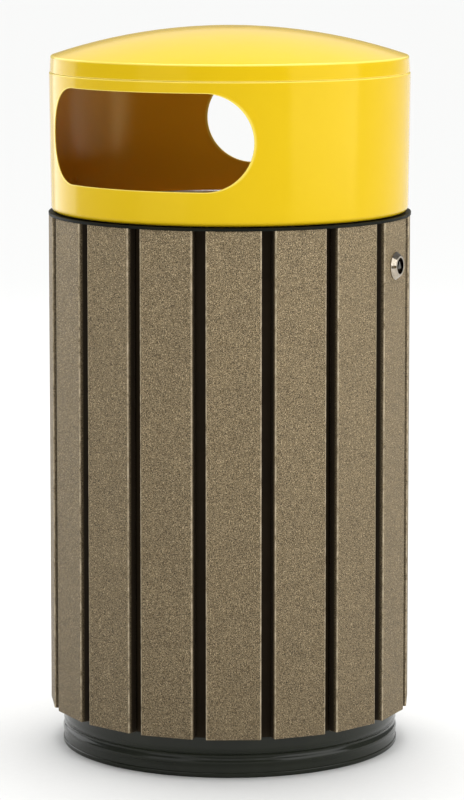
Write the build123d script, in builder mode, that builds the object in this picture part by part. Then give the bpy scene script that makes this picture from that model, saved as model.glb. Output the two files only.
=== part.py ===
from build123d import *
import os
from math import asin, atan2, cos, degrees, radians, sin, sqrt

# Round litter bin for streets and parks: a steel body clad with upright slats, a hinged hood
# with two opposite mouths, a lock that holds the hood shut, and a liner that lifts out.
# Millimetres, +Z up, origin on the ground under the middle of the base.
# A bearing is an angle round the bin in degrees, from the front (-Y) towards +X.

# Cladding
SLAT_COUNT = 17
SLAT_WIDTH = 62.0
SLAT_THICKNESS = 13.0
SLAT_FACE = 207.7           # bin axis to a slat's flat front
SLAT_FOOT = 46.5
SLAT_TOP = 618.0
SLAT_EDGE = 1.8

# Body shell, base and top ring
SHELL_RADIUS = 194.5
SHELL_WALL = 2.0
BASE_PLATE_THICKNESS = 3.0
FOOT_TOP = 5.5
FOOT_RADIUS = 195.3
RING_THICKNESS = 3.0
RING_OUTER = 209.3
RING_INNER = 175.5

# Hood: a side wall with two mouths, closed by a domed cap
HOOD_FOOT = 622.0
HOOD_RADIUS = 206.2         # at the foot
HOOD_TOP_RADIUS = 208.0
HOOD_TOP = 782.0
HOOD_WALL = 1.5
MOUTH_HEIGHT = 108.7
MOUTH_CENTRE = 714.7
MOUTH_END_TURN = 25.4       # bearing from a mouth's middle to the centre of its round end
MOUTH_BEARINGS = (0, 180)
CAP_RIM_RADIUS = 207.4
CAP_APEX = 834.5
CAP_SPHERE = 644.0

# Lock, and the hinge opposite to it
LOCK_BEARING = 97.9
LOCK_HEIGHT = 566.6
HINGE_BEARING = LOCK_BEARING + 180
HINGE_REACH = 215.0         # bin axis to the hinge pin
HINGE_HEIGHT = 629.0
KNUCKLE_RADIUS = 5.0
PIN_RADIUS = 2.5

# Liner
LINER_RADIUS = 174.0
LINER_WALL = 1.2
LINER_FOOT = 20.0
LINER_FLOOR = 30.0
LINER_RIM_WIRE = 3.75
HANDLE_REACH = 158.5
HANDLE_HEIGHT = 598.0
HANDLE_HALF_WIDTH = 45.0
HANDLE_DROP = 40.0
HANDLE_WIRE = 3.0

# Fasteners
SCREW_ROWS = (80.0, 600.0)
SCREW_RADIUS = 2.0
RIVET_RADIUS = 2.0
HOLE_PLAY = 0.05
CUT_MARGIN = 5.0            # how far a cutting shape reaches past the sheet it cuts
ANCHOR_PCD = 240.0
ANCHOR_RADIUS = 6.5
DRAIN_PCD = 120.0
DRAIN_RADIUS = 5.0

SLAT_PITCH = 360 / SLAT_COUNT
SLAT_BACK = SLAT_FACE - SLAT_THICKNESS
SHELL_INSIDE = SHELL_RADIUS - SHELL_WALL
RING_TOP = SLAT_TOP + RING_THICKNESS
SLAT_BEARINGS = [LOCK_BEARING + SLAT_PITCH * turn for turn in range(SLAT_COUNT)]

os.makedirs("parts", exist_ok=True)


def facing(bearing, height=0.0, reach=0.0):
    """Upright plane that faces outwards at a bearing: its X goes round the bin, its Y goes up."""
    turn = radians(bearing)
    out = Vector(sin(turn), -cos(turn), 0)
    origin = out * reach + Vector(0, 0, height)
    return Plane(origin=origin, x_dir=(cos(turn), sin(turn), 0), z_dir=out)


def level(bearing, height=0.0):
    """Level plane at a height: its X goes outwards at the bearing, its Y goes round the bin."""
    turn = radians(bearing)
    return Plane(origin=(0, 0, height), x_dir=(sin(turn), -cos(turn), 0), z_dir=(0, 0, 1))


def cutting(bearing):
    """Upright plane through the bin's axis at a bearing: its X goes outwards, its Y goes up."""
    turn = radians(bearing)
    return Plane(origin=(0, 0, 0), x_dir=(sin(turn), -cos(turn), 0), z_dir=(-cos(turn), -sin(turn), 0))


def save(sub_part, name):
    """Labels a finished piece and writes its STEP."""
    sub_part.part.label = name
    export_step(sub_part.part, f"parts/{name}.step")


def chord_reach(radius, across):
    """How far out a circle stands at a distance across from its middle line."""
    return sqrt(radius**2 - across**2)


def make_rivet(grip, head_radius, head_height=1.8):
    """Rivet along Z that clamps sheets between z = 0 and z = grip under two equal domed heads."""
    dome_radius = (head_radius**2 + head_height**2) / (2 * head_height)
    half_turn = asin(head_radius / dome_radius) / 2
    swell = dome_radius * (cos(half_turn) - 1) + head_height
    crown = (dome_radius * sin(half_turn), swell)
    with BuildPart() as rivet:
        with BuildSketch(Plane.XZ):
            with BuildLine():
                Polyline(
                    (head_radius, 0),
                    (RIVET_RADIUS, 0),
                    (RIVET_RADIUS, grip),
                    (head_radius, grip),
                )
                ThreePointArc((head_radius, grip), (crown[0], grip + crown[1]), (0, grip + head_height))
                Line((0, grip + head_height), (0, -head_height))
                ThreePointArc((0, -head_height), (crown[0], -crown[1]), (head_radius, 0))
            make_face()
        revolve(axis=Axis.Z)
    return rivet.part


# ---------------------------------------------------------------- base

# Steel floor of the body. Four holes take anchor bolts, and four smaller ones drain it.
BASE_PLATE_RADIUS = 189.0
with BuildPart() as base_plate:
    with BuildSketch():
        Circle(BASE_PLATE_RADIUS)
        with PolarLocations(ANCHOR_PCD / 2, 4, start_angle=45):
            Circle(ANCHOR_RADIUS, mode=Mode.SUBTRACT)
        with PolarLocations(DRAIN_PCD / 2, 4):
            Circle(DRAIN_RADIUS, mode=Mode.SUBTRACT)
    extrude(amount=BASE_PLATE_THICKNESS)
save(base_plate, "base_plate")

# Ring round the floor: its outer lip carries the shell, its collar stands inside the shell.
COLLAR_TOP = 18.0
LIP_EDGE = 1.2
with BuildPart() as foot_ring:
    with BuildSketch(Plane.XZ):
        with Locations(((BASE_PLATE_RADIUS + FOOT_RADIUS) / 2, FOOT_TOP / 2)):
            Rectangle(FOOT_RADIUS - BASE_PLATE_RADIUS, FOOT_TOP)
        with Locations(((BASE_PLATE_RADIUS + SHELL_INSIDE) / 2, COLLAR_TOP / 2)):
            Rectangle(SHELL_INSIDE - BASE_PLATE_RADIUS, COLLAR_TOP)
    revolve(axis=Axis.Z)
    rims = foot_ring.edges().filter_by(GeomType.CIRCLE)
    fillet(rims.filter_by(lambda rim: rim.radius > FOOT_RADIUS - 0.1), LIP_EDGE)
save(foot_ring, "foot_ring")

# Rolled skirt that shows below the slats. A ridge and a groove are rolled in to stiffen it.
SKIRT_TOP = 46.0
RIDGE_LOW, RIDGE_HIGH, RIDGE_DEPTH = 14.5, 20.0, 0.8
GROOVE_HIGH, GROOVE_DEPTH = 27.0, 1.8
with BuildPart() as base_skirt:
    with BuildSketch(Plane.XZ):
        with BuildLine():
            hem = Line((SHELL_RADIUS, FOOT_TOP), (SHELL_RADIUS, RIDGE_LOW))
            ridge = SagittaArc(hem @ 1, (SHELL_RADIUS, RIDGE_HIGH), -RIDGE_DEPTH)
            groove = SagittaArc(ridge @ 1, (SHELL_RADIUS, GROOVE_HIGH), GROOVE_DEPTH)
            Line(groove @ 1, (SHELL_RADIUS, SKIRT_TOP))
            offset(amount=SHELL_WALL, side=Side.LEFT)
        make_face()
    revolve(axis=Axis.Z)
save(base_skirt, "base_skirt")

# ---------------------------------------------------------------- body shell

# Plain cylinder behind the slats, drilled for their screws and for the lock's barrel.
LOCK_SHANK_RADIUS = 9.5
with BuildPart() as body_shell:
    with BuildSketch(Plane.XY.offset(SKIRT_TOP)):
        Circle(SHELL_RADIUS)
        Circle(SHELL_INSIDE, mode=Mode.SUBTRACT)
    extrude(amount=SLAT_TOP - SKIRT_TOP)
    for bearing in SLAT_BEARINGS:
        for row in SCREW_ROWS:
            with BuildSketch(facing(bearing, row, SHELL_INSIDE - CUT_MARGIN)):
                Circle(SCREW_RADIUS + HOLE_PLAY)
            extrude(amount=2 * CUT_MARGIN, mode=Mode.SUBTRACT)
    with BuildSketch(facing(LOCK_BEARING, LOCK_HEIGHT, SHELL_INSIDE - CUT_MARGIN)):
        Circle(LOCK_SHANK_RADIUS + HOLE_PLAY)
    extrude(amount=2 * CUT_MARGIN, mode=Mode.SUBTRACT)
save(body_shell, "body_shell")

# Flat ring that caps the shell and the slats. A tab carries the hinge, and a notch opposite to
# it lets the hood's catch down to the lock.
CATCH_NEAR, CATCH_FAR = -16.0, -8.0
RING_NOTCH_INNER, RING_NOTCH_OUTER, RING_NOTCH_WIDTH = 171.1, 191.5, 12.0
TAB_ROOT, TAB_REACH, TAB_HALF_WIDTH, TAB_CORNER = 199.3, 220.5, 24.0, 4.0
TAB_HOLE_REACH, TAB_HOLE_ACROSS = 214.5, 6.0
with BuildPart() as top_ring:
    with BuildSketch(level(HINGE_BEARING, SLAT_TOP)):
        Circle(RING_OUTER)
        with Locations(((TAB_ROOT + TAB_REACH) / 2, 0)):
            RectangleRounded(TAB_REACH - TAB_ROOT, 2 * TAB_HALF_WIDTH, TAB_CORNER)
        Circle(RING_INNER, mode=Mode.SUBTRACT)
    extrude(amount=RING_THICKNESS)
    with BuildSketch(level(LOCK_BEARING, SLAT_TOP)):
        with Locations(((RING_NOTCH_INNER + RING_NOTCH_OUTER) / 2, (CATCH_NEAR + CATCH_FAR) / 2)):
            Rectangle(RING_NOTCH_OUTER - RING_NOTCH_INNER, RING_NOTCH_WIDTH)
    extrude(amount=RING_THICKNESS, mode=Mode.SUBTRACT)
    with BuildSketch(level(HINGE_BEARING, SLAT_TOP)):
        with Locations((TAB_HOLE_REACH, -TAB_HOLE_ACROSS), (TAB_HOLE_REACH, TAB_HOLE_ACROSS)):
            Circle(RIVET_RADIUS + HOLE_PLAY)
    extrude(amount=RING_THICKNESS, mode=Mode.SUBTRACT)
save(top_ring, "top_ring")

# ---------------------------------------------------------------- slats

# One board with rounded edges. Two blind holes in its back take the screws.
SCREW_BITE, BLIND_REST = 9.0, 0.5
SLAT_FOOT_CHAMFER = 0.8


def make_slat(bearing):
    """One slat. The one at the lock's bearing also has the barrel's hole."""
    with BuildPart() as slat:
        with BuildSketch(level(bearing, SLAT_FOOT)):
            with Locations(((SLAT_FACE + SLAT_BACK) / 2, 0)):
                Rectangle(SLAT_THICKNESS, SLAT_WIDTH)
        extrude(amount=SLAT_TOP - SLAT_FOOT)
        fillet(slat.edges().filter_by(Axis.Z), SLAT_EDGE)
        chamfer(slat.faces().sort_by(Axis.Z)[0].edges(), SLAT_FOOT_CHAMFER)
        for row in SCREW_ROWS:
            with BuildSketch(facing(bearing, row, SLAT_BACK)):
                Circle(SCREW_RADIUS + HOLE_PLAY)
            extrude(amount=SCREW_BITE + BLIND_REST, mode=Mode.SUBTRACT)
        if bearing == LOCK_BEARING:
            with BuildSketch(facing(bearing, LOCK_HEIGHT, SLAT_BACK)):
                Circle(LOCK_SHANK_RADIUS + HOLE_PLAY)
            extrude(amount=SLAT_THICKNESS, mode=Mode.SUBTRACT)
    return slat


for number, bearing in enumerate(SLAT_BEARINGS, start=1):
    save(make_slat(bearing), f"slat_{number:02d}")

# Pan-head screws driven from inside the shell into the back of every slat.
SCREW_SEAT = SHELL_INSIDE - 0.1
SCREW_HEAD_RADIUS, SCREW_HEAD_HEIGHT = 4.5, 2.4
with BuildPart() as slat_screws:
    for bearing in SLAT_BEARINGS:
        for row in SCREW_ROWS:
            with BuildSketch(facing(bearing, row, SCREW_SEAT - SCREW_HEAD_HEIGHT)):
                Circle(SCREW_HEAD_RADIUS)
            extrude(amount=SCREW_HEAD_HEIGHT)
            with BuildSketch(facing(bearing, row, SCREW_SEAT)):
                Circle(SCREW_RADIUS)
            extrude(amount=SLAT_BACK + SCREW_BITE - SCREW_SEAT)
save(slat_screws, "slat_screws")

# ---------------------------------------------------------------- lock

# Turned barrel through the lock slat and the shell, with a tapered bezel in front. Its recess
# leaves the triangular stud free for a key, and two notches in the bezel take a spanner.
BEZEL_RADIUS, BEZEL_FRONT_RADIUS, BEZEL_DEPTH = 16.0, 11.6, 6.0
BEZEL_RIM, BEZEL_EDGE = 1.2, 0.9
SPANNER_NOTCH_INNER, SPANNER_NOTCH_WIDTH, SPANNER_NOTCH_FLOOR = 11.4, 3.2, 1.6
ROTOR_RADIUS = 6.25
RECESS_RADIUS, RECESS_DEPTH = 9.2, 5.5
BARREL_BACK = 187.3
BEZEL_FRONT = SLAT_FACE + BEZEL_DEPTH
lock_axis = facing(LOCK_BEARING, LOCK_HEIGHT)
with BuildPart() as lock_body:
    with BuildSketch(lock_axis.offset(BARREL_BACK)):
        Circle(LOCK_SHANK_RADIUS)
    extrude(amount=SLAT_FACE - BARREL_BACK)
    with BuildSketch(lock_axis.offset(SLAT_FACE)):
        Circle(BEZEL_RADIUS)
    with BuildSketch(lock_axis.offset(SLAT_FACE + BEZEL_RIM)):
        Circle(BEZEL_RADIUS)
    loft()
    with BuildSketch(lock_axis.offset(SLAT_FACE + BEZEL_RIM)):
        Circle(BEZEL_RADIUS)
    with BuildSketch(lock_axis.offset(BEZEL_FRONT)):
        Circle(BEZEL_FRONT_RADIUS)
    loft()
    outwards = Axis(lock_axis.origin, lock_axis.z_dir)
    front_face = lock_body.faces().filter_by(GeomType.PLANE).sort_by(outwards)[-1]
    fillet(front_face.edges(), BEZEL_EDGE)
    with BuildSketch(lock_axis.offset(BARREL_BACK)):
        Circle(ROTOR_RADIUS + HOLE_PLAY)
    extrude(amount=BEZEL_FRONT - BARREL_BACK, mode=Mode.SUBTRACT)
    with BuildSketch(lock_axis.offset(BEZEL_FRONT - RECESS_DEPTH)):
        Circle(RECESS_RADIUS)
    extrude(amount=RECESS_DEPTH, mode=Mode.SUBTRACT)
    with BuildSketch(lock_axis.offset(SLAT_FACE + SPANNER_NOTCH_FLOOR)):
        with Locations((-BEZEL_RADIUS, 0), (BEZEL_RADIUS, 0)):
            Rectangle(2 * (BEZEL_RADIUS - SPANNER_NOTCH_INNER), SPANNER_NOTCH_WIDTH)
    extrude(amount=BEZEL_DEPTH, mode=Mode.SUBTRACT)
save(lock_body, "lock_body")

# Hexagonal nut that draws the bezel against the slat from inside the shell.
NUT_THICKNESS, NUT_HALF_WIDTH = 4.4, 13.5
NUT_FRONT = 191.8
with BuildPart() as lock_nut:
    with BuildSketch(lock_axis.offset(NUT_FRONT - NUT_THICKNESS)):
        RegularPolygon(NUT_HALF_WIDTH, 6, major_radius=False)
        Circle(LOCK_SHANK_RADIUS, mode=Mode.SUBTRACT)
    extrude(amount=NUT_THICKNESS)
save(lock_nut, "lock_nut")

# Rotor: triangular stud in front, square tail behind for the cam, tapped hole for its screw.
CAM_BACK, CAM_THICKNESS = 183.0, 2.5
ROTOR_BACK = CAM_BACK + CAM_THICKNESS
ROTOR_FACE = BEZEL_FRONT - RECESS_DEPTH
STUD_RADIUS, STUD_EDGE, STUD_HEIGHT = 6.0, 0.8, 4.5
TAIL_WIDTH = 7.0
CAM_SCREW_RADIUS, CAM_SCREW_BITE, TAPPED_DEPTH = 2.5, 9.0, 10.0
with BuildPart() as lock_rotor:
    with BuildSketch(lock_axis.offset(ROTOR_BACK)):
        Circle(ROTOR_RADIUS)
    extrude(amount=ROTOR_FACE - ROTOR_BACK)
    with BuildSketch(lock_axis.offset(ROTOR_FACE)) as stud_outline:
        RegularPolygon(STUD_RADIUS, 3, rotation=90)
        fillet(stud_outline.vertices(), STUD_EDGE)
    extrude(amount=STUD_HEIGHT)
    with BuildSketch(lock_axis.offset(CAM_BACK)):
        Rectangle(TAIL_WIDTH, TAIL_WIDTH)
    extrude(amount=CAM_THICKNESS)
    with BuildSketch(lock_axis.offset(CAM_BACK)):
        Circle(CAM_SCREW_RADIUS)
    extrude(amount=TAPPED_DEPTH, mode=Mode.SUBTRACT)
save(lock_rotor, "lock_rotor")

# Cam: a hook on an arm. It lies level when the lock is open; a quarter turn swings the hook up
# and over the lip of the hood's catch.
HOOK_INNER, HOOK_OUTER, HOOK_TURN = 32.5, 41.0, 25.0
CAM_BOSS_RADIUS, CAM_ARM_WIDTH, CAM_ARM_END, TAIL_PLAY = 9.0, 10.0, 37.0, 0.05
hook_line = CenterArc((0, 0), (HOOK_INNER + HOOK_OUTER) / 2, 0, HOOK_TURN)
with BuildPart() as lock_cam:
    with BuildSketch(lock_axis.offset(CAM_BACK)):
        Circle(CAM_BOSS_RADIUS)
        with Locations((CAM_ARM_END / 2, 0)):
            Rectangle(CAM_ARM_END, CAM_ARM_WIDTH)
        SlotArc(hook_line, HOOK_OUTER - HOOK_INNER)
        Rectangle(TAIL_WIDTH + 2 * TAIL_PLAY, TAIL_WIDTH + 2 * TAIL_PLAY, mode=Mode.SUBTRACT)
    extrude(amount=CAM_THICKNESS)
save(lock_cam, "lock_cam")

# Washer and hexagonal screw that hold the cam on the rotor's tail.
CAM_WASHER_THICKNESS, CAM_WASHER_RADIUS = 0.8, 7.0
CAM_SCREW_HEAD_HEIGHT, CAM_SCREW_HEAD_HALF_WIDTH = 3.0, 4.0
with BuildPart() as cam_washer:
    with BuildSketch(lock_axis.offset(CAM_BACK - CAM_WASHER_THICKNESS)):
        Circle(CAM_WASHER_RADIUS)
        Circle(CAM_SCREW_RADIUS + HOLE_PLAY, mode=Mode.SUBTRACT)
    extrude(amount=CAM_WASHER_THICKNESS)
save(cam_washer, "cam_washer")

with BuildPart() as cam_screw:
    with BuildSketch(lock_axis.offset(CAM_BACK - CAM_WASHER_THICKNESS - CAM_SCREW_HEAD_HEIGHT)):
        RegularPolygon(CAM_SCREW_HEAD_HALF_WIDTH, 6, major_radius=False)
    extrude(amount=CAM_SCREW_HEAD_HEIGHT)
    with BuildSketch(lock_axis.offset(CAM_BACK - CAM_WASHER_THICKNESS)):
        Circle(CAM_SCREW_RADIUS - HOLE_PLAY)
    extrude(amount=CAM_SCREW_BITE)
save(cam_screw, "cam_screw")

# ---------------------------------------------------------------- hood

# Side wall: rolled sheet that widens slightly upwards. Its foot and its top turn inwards as
# flanges. Two mouths with round ends face opposite ways.
FOOT_BEND, TOP_BEND = 6.2, 1.8
FOOT_FLANGE_INNER, TOP_FLANGE_INNER = 192.5, 196.0
MOUTH_END_RADIUS = MOUTH_HEIGHT / 2
LEAN = degrees(atan2(HOOD_TOP_RADIUS - HOOD_RADIUS, HOOD_TOP - HOOD_FOOT - FOOT_BEND - TOP_BEND))
CATCH_RIVETS = (-15.5, -8.5)
CATCH_RIVET_REACH = 196.4
BUMPER_REACH = 196.6
BUMPER_TURNS = (-130, -45, 45, 130)
LEAF_RIVET_HEIGHT = 648.0
LEAF_RIVET_ACROSS = 7.0
CAP_RIVET_REACH = 201.0
CAP_RIVET_COUNT, CAP_RIVET_START = 8, 22.5
with BuildPart() as hood_shell:
    with BuildSketch(Plane.XZ):
        with BuildLine():
            foot_flange = Line((FOOT_FLANGE_INNER, HOOD_FOOT), (HOOD_RADIUS - FOOT_BEND, HOOD_FOOT))
            foot_bend = JernArc(foot_flange @ 1, foot_flange % 1, FOOT_BEND, 90 - LEAN)
            wall_height = HOOD_TOP - TOP_BEND * (1 + sin(radians(LEAN))) - (foot_bend @ 1).Y
            wall = PolarLine(foot_bend @ 1, wall_height, 90 - LEAN, length_mode=LengthMode.VERTICAL)
            top_bend = JernArc(wall @ 1, wall % 1, TOP_BEND, 90 + LEAN)
            Line(top_bend @ 1, (TOP_FLANGE_INNER, (top_bend @ 1).Y))
            offset(amount=HOOD_WALL, side=Side.LEFT)
        make_face()
    revolve(axis=Axis.Z)
    for middle in MOUTH_BEARINGS:
        with BuildSketch(cutting(middle - MOUTH_END_TURN)):
            with Locations((HOOD_RADIUS, MOUTH_CENTRE)):
                Rectangle(6 * CUT_MARGIN, MOUTH_HEIGHT)
        revolve(axis=Axis.Z, revolution_arc=2 * MOUTH_END_TURN, mode=Mode.SUBTRACT)
        for side in (-1, 1):
            with BuildSketch(facing(middle + side * MOUTH_END_TURN, MOUTH_CENTRE)):
                Circle(MOUTH_END_RADIUS)
            extrude(amount=HOOD_TOP_RADIUS + CUT_MARGIN, mode=Mode.SUBTRACT)
    with BuildSketch(level(LOCK_BEARING, HOOD_FOOT)):
        for across in CATCH_RIVETS:
            with Locations((CATCH_RIVET_REACH, across)):
                Circle(RIVET_RADIUS + HOLE_PLAY)
        for turn in BUMPER_TURNS:
            with PolarLocations(BUMPER_REACH, 1, start_angle=turn):
                Circle(RIVET_RADIUS + HOLE_PLAY)
    extrude(amount=HOOD_WALL, mode=Mode.SUBTRACT)
    with BuildSketch(facing(HINGE_BEARING, LEAF_RIVET_HEIGHT, HOOD_RADIUS - CUT_MARGIN)):
        with Locations((-LEAF_RIVET_ACROSS, 0), (LEAF_RIVET_ACROSS, 0)):
            Circle(RIVET_RADIUS + HOLE_PLAY)
    extrude(amount=2 * CUT_MARGIN, mode=Mode.SUBTRACT)
    with BuildSketch(Plane.XY.offset(HOOD_TOP - HOOD_WALL)):
        with PolarLocations(CAP_RIVET_REACH, CAP_RIVET_COUNT, start_angle=CAP_RIVET_START):
            Circle(RIVET_RADIUS + HOLE_PLAY)
    extrude(amount=HOOD_WALL, mode=Mode.SUBTRACT)
save(hood_shell, "hood_shell")

# Spun cap: a shallow dome with an upright rim whose foot turns inwards on to the hood's flange.
CAP_SHOULDER, CAP_HEEL = 3.0, 1.2
CAP_LEAN = 3.0
SHOULDER_REACH = CAP_RIM_RADIUS - 1.0      # where the shoulder's curve meets the rim's line
DOME_TURN = degrees(asin((SHOULDER_REACH - CAP_SHOULDER) / (CAP_SPHERE - CAP_SHOULDER)))
with BuildPart() as hood_cap:
    with BuildSketch(Plane.XZ):
        with BuildLine():
            dome = CenterArc((0, CAP_APEX - CAP_SPHERE), CAP_SPHERE, 90, -DOME_TURN)
            shoulder = JernArc(dome @ 1, dome % 1, CAP_SHOULDER, -(90 - DOME_TURN - CAP_LEAN))
            rim_drop = (shoulder @ 1).Y - HOOD_TOP - CAP_HEEL
            rim = Line(shoulder @ 1, (CAP_RIM_RADIUS, (shoulder @ 1).Y - rim_drop))
            heel = JernArc(rim @ 1, (0, -1), CAP_HEEL, -90)
            Line(heel @ 1, (TOP_FLANGE_INNER, HOOD_TOP))
            offset(amount=HOOD_WALL, side=Side.RIGHT)
        make_face()
    revolve(axis=Axis.Z)
    with BuildSketch(Plane.XY.offset(HOOD_TOP)):
        with PolarLocations(CAP_RIVET_REACH, CAP_RIVET_COUNT, start_angle=CAP_RIVET_START):
            Circle(RIVET_RADIUS + HOLE_PLAY)
    extrude(amount=HOOD_WALL, mode=Mode.SUBTRACT)
save(hood_cap, "hood_cap")

# Rivets through the two flanges where the cap sits on the wall.
SMALL_HEAD_RADIUS, SMALL_HEAD_HEIGHT = 3.6, 1.5
flange_rivet = make_rivet(2 * HOOD_WALL, SMALL_HEAD_RADIUS, SMALL_HEAD_HEIGHT)
with BuildPart(Plane.XY.offset(HOOD_TOP - HOOD_WALL)) as cap_rivets:
    with PolarLocations(CAP_RIVET_REACH, CAP_RIVET_COUNT, start_angle=CAP_RIVET_START):
        add(flange_rivet)
save(cap_rivets, "cap_rivets")

# Catch: a bent strip on the hood's foot flange. Its leg drops through the ring's notch, and the
# lip at its end is what the cam hooks over.
CATCH_PLATE = 2.0
CATCH_LEG_REACH = 189.0
CATCH_LIP_REACH = 183.0
CATCH_LIP_HEIGHT = 591.6
CATCH_SHELF_END = 200.0
CATCH_BENDS = (2.4, 0.6)
with BuildPart() as hood_catch:
    with BuildSketch(cutting(LOCK_BEARING)):
        with BuildLine():
            FilletPolyline(
                (CATCH_LIP_REACH, CATCH_LIP_HEIGHT),
                (CATCH_LEG_REACH, CATCH_LIP_HEIGHT),
                (CATCH_LEG_REACH, HOOD_FOOT + HOOD_WALL),
                (CATCH_SHELF_END, HOOD_FOOT + HOOD_WALL),
                radius=list(CATCH_BENDS),
            )
            offset(amount=CATCH_PLATE, side=Side.LEFT)
        make_face()
    extrude(amount=-CATCH_NEAR)
    with BuildSketch(cutting(LOCK_BEARING)):
        with Locations((CATCH_LEG_REACH, (CATCH_LIP_HEIGHT + HOOD_FOOT) / 2)):
            Rectangle(8 * CUT_MARGIN, HOOD_FOOT - CATCH_LIP_HEIGHT + 4 * CUT_MARGIN)
    extrude(amount=-CATCH_FAR, mode=Mode.SUBTRACT)
    with BuildSketch(level(LOCK_BEARING, HOOD_FOOT)):
        for across in CATCH_RIVETS:
            with Locations((CATCH_RIVET_REACH, across)):
                Circle(RIVET_RADIUS + HOLE_PLAY)
    extrude(amount=HOOD_WALL + CATCH_PLATE, mode=Mode.SUBTRACT)
save(hood_catch, "hood_catch")

# Two rivets hold the catch. Their lower heads are flush, so that the hood can come down.
CATCH_HEAD_RADIUS, CATCH_HEAD_HEIGHT = 3.2, 1.4
STANDING = (Align.CENTER, Align.CENTER, Align.MIN)
with BuildPart(level(LOCK_BEARING, HOOD_FOOT)) as catch_rivets:
    for across in CATCH_RIVETS:
        with Locations((CATCH_RIVET_REACH, across)):
            Cylinder(RIVET_RADIUS, HOOD_WALL + CATCH_PLATE, align=STANDING)
        with Locations((CATCH_RIVET_REACH, across, HOOD_WALL + CATCH_PLATE)):
            Cylinder(CATCH_HEAD_RADIUS, CATCH_HEAD_HEIGHT, align=STANDING)
save(catch_rivets, "catch_rivets")

# Rubber bumpers pressed into the hood's foot flange: the hood sits on the ring through them.
BUMPER_RADIUS = 3.4
BARB_RADIUS, BARB_HEIGHT, BARB_TAPER = 3.0, 2.2, 20
with BuildPart() as bumper:
    with BuildSketch():
        Circle(BUMPER_RADIUS)
    extrude(amount=HOOD_FOOT - RING_TOP)
    with BuildSketch():
        Circle(RIVET_RADIUS)
    extrude(amount=HOOD_FOOT - RING_TOP + HOOD_WALL)
    with BuildSketch(Plane.XY.offset(HOOD_FOOT - RING_TOP + HOOD_WALL)):
        Circle(BARB_RADIUS)
    extrude(amount=BARB_HEIGHT, taper=BARB_TAPER)
with BuildPart(level(LOCK_BEARING, RING_TOP)) as hood_bumpers:
    for turn in BUMPER_TURNS:
        with PolarLocations(BUMPER_REACH, 1, start_angle=turn):
            add(bumper.part)
save(hood_bumpers, "hood_bumpers")

# ---------------------------------------------------------------- hinge

# Fixed half: a plate riveted to the ring's tab, with two ears that hold the pin.
EAR_NEAR, EAR_FAR = 13.5, 21.5
BRACKET_INNER, BRACKET_OUTER, BRACKET_THICKNESS = 209.8, 220.3, 2.0
BRACKET_TOP = RING_TOP + BRACKET_THICKNESS
with BuildPart() as hinge_bracket:
    with BuildSketch(level(HINGE_BEARING, RING_TOP)):
        with Locations(((BRACKET_INNER + BRACKET_OUTER) / 2, 0)):
            Rectangle(BRACKET_OUTER - BRACKET_INNER, 2 * EAR_FAR)
    extrude(amount=BRACKET_THICKNESS)
    with BuildSketch(cutting(HINGE_BEARING)):
        with Locations((HINGE_REACH, HINGE_HEIGHT)):
            Circle(KNUCKLE_RADIUS)
        with Locations((HINGE_REACH, (BRACKET_TOP + HINGE_HEIGHT) / 2)):
            Rectangle(2 * KNUCKLE_RADIUS, HINGE_HEIGHT - BRACKET_TOP)
    extrude(amount=EAR_FAR, both=True)
    with BuildSketch(cutting(HINGE_BEARING)):
        with Locations((HINGE_REACH, BRACKET_TOP + KNUCKLE_RADIUS + CUT_MARGIN)):
            Rectangle(2 * (KNUCKLE_RADIUS + CUT_MARGIN), 2 * (KNUCKLE_RADIUS + CUT_MARGIN))
    extrude(amount=EAR_NEAR, both=True, mode=Mode.SUBTRACT)
    with BuildSketch(cutting(HINGE_BEARING)):
        with Locations((HINGE_REACH, HINGE_HEIGHT)):
            Circle(PIN_RADIUS)
    extrude(amount=TAB_HALF_WIDTH, both=True, mode=Mode.SUBTRACT)
    with BuildSketch(level(HINGE_BEARING, RING_TOP)):
        with Locations((TAB_HOLE_REACH, -TAB_HOLE_ACROSS), (TAB_HOLE_REACH, TAB_HOLE_ACROSS)):
            Circle(RIVET_RADIUS + HOLE_PLAY)
    extrude(amount=BRACKET_THICKNESS, mode=Mode.SUBTRACT)
save(hinge_bracket, "hinge_bracket")

# Two rivets hold the bracket down. They are flush on top, to pass under the moving knuckle.
with BuildPart() as bracket_rivets:
    with BuildSketch(level(HINGE_BEARING, SLAT_TOP)):
        with Locations((TAB_HOLE_REACH, -TAB_HOLE_ACROSS), (TAB_HOLE_REACH, TAB_HOLE_ACROSS)):
            Circle(RIVET_RADIUS)
    extrude(amount=BRACKET_TOP - SLAT_TOP)
    with BuildSketch(level(HINGE_BEARING, SLAT_TOP - SMALL_HEAD_HEIGHT)):
        with Locations((TAB_HOLE_REACH, -TAB_HOLE_ACROSS), (TAB_HOLE_REACH, TAB_HOLE_ACROSS)):
            Circle(SMALL_HEAD_RADIUS)
    extrude(amount=SMALL_HEAD_HEIGHT)
save(bracket_rivets, "bracket_rivets")

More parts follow.
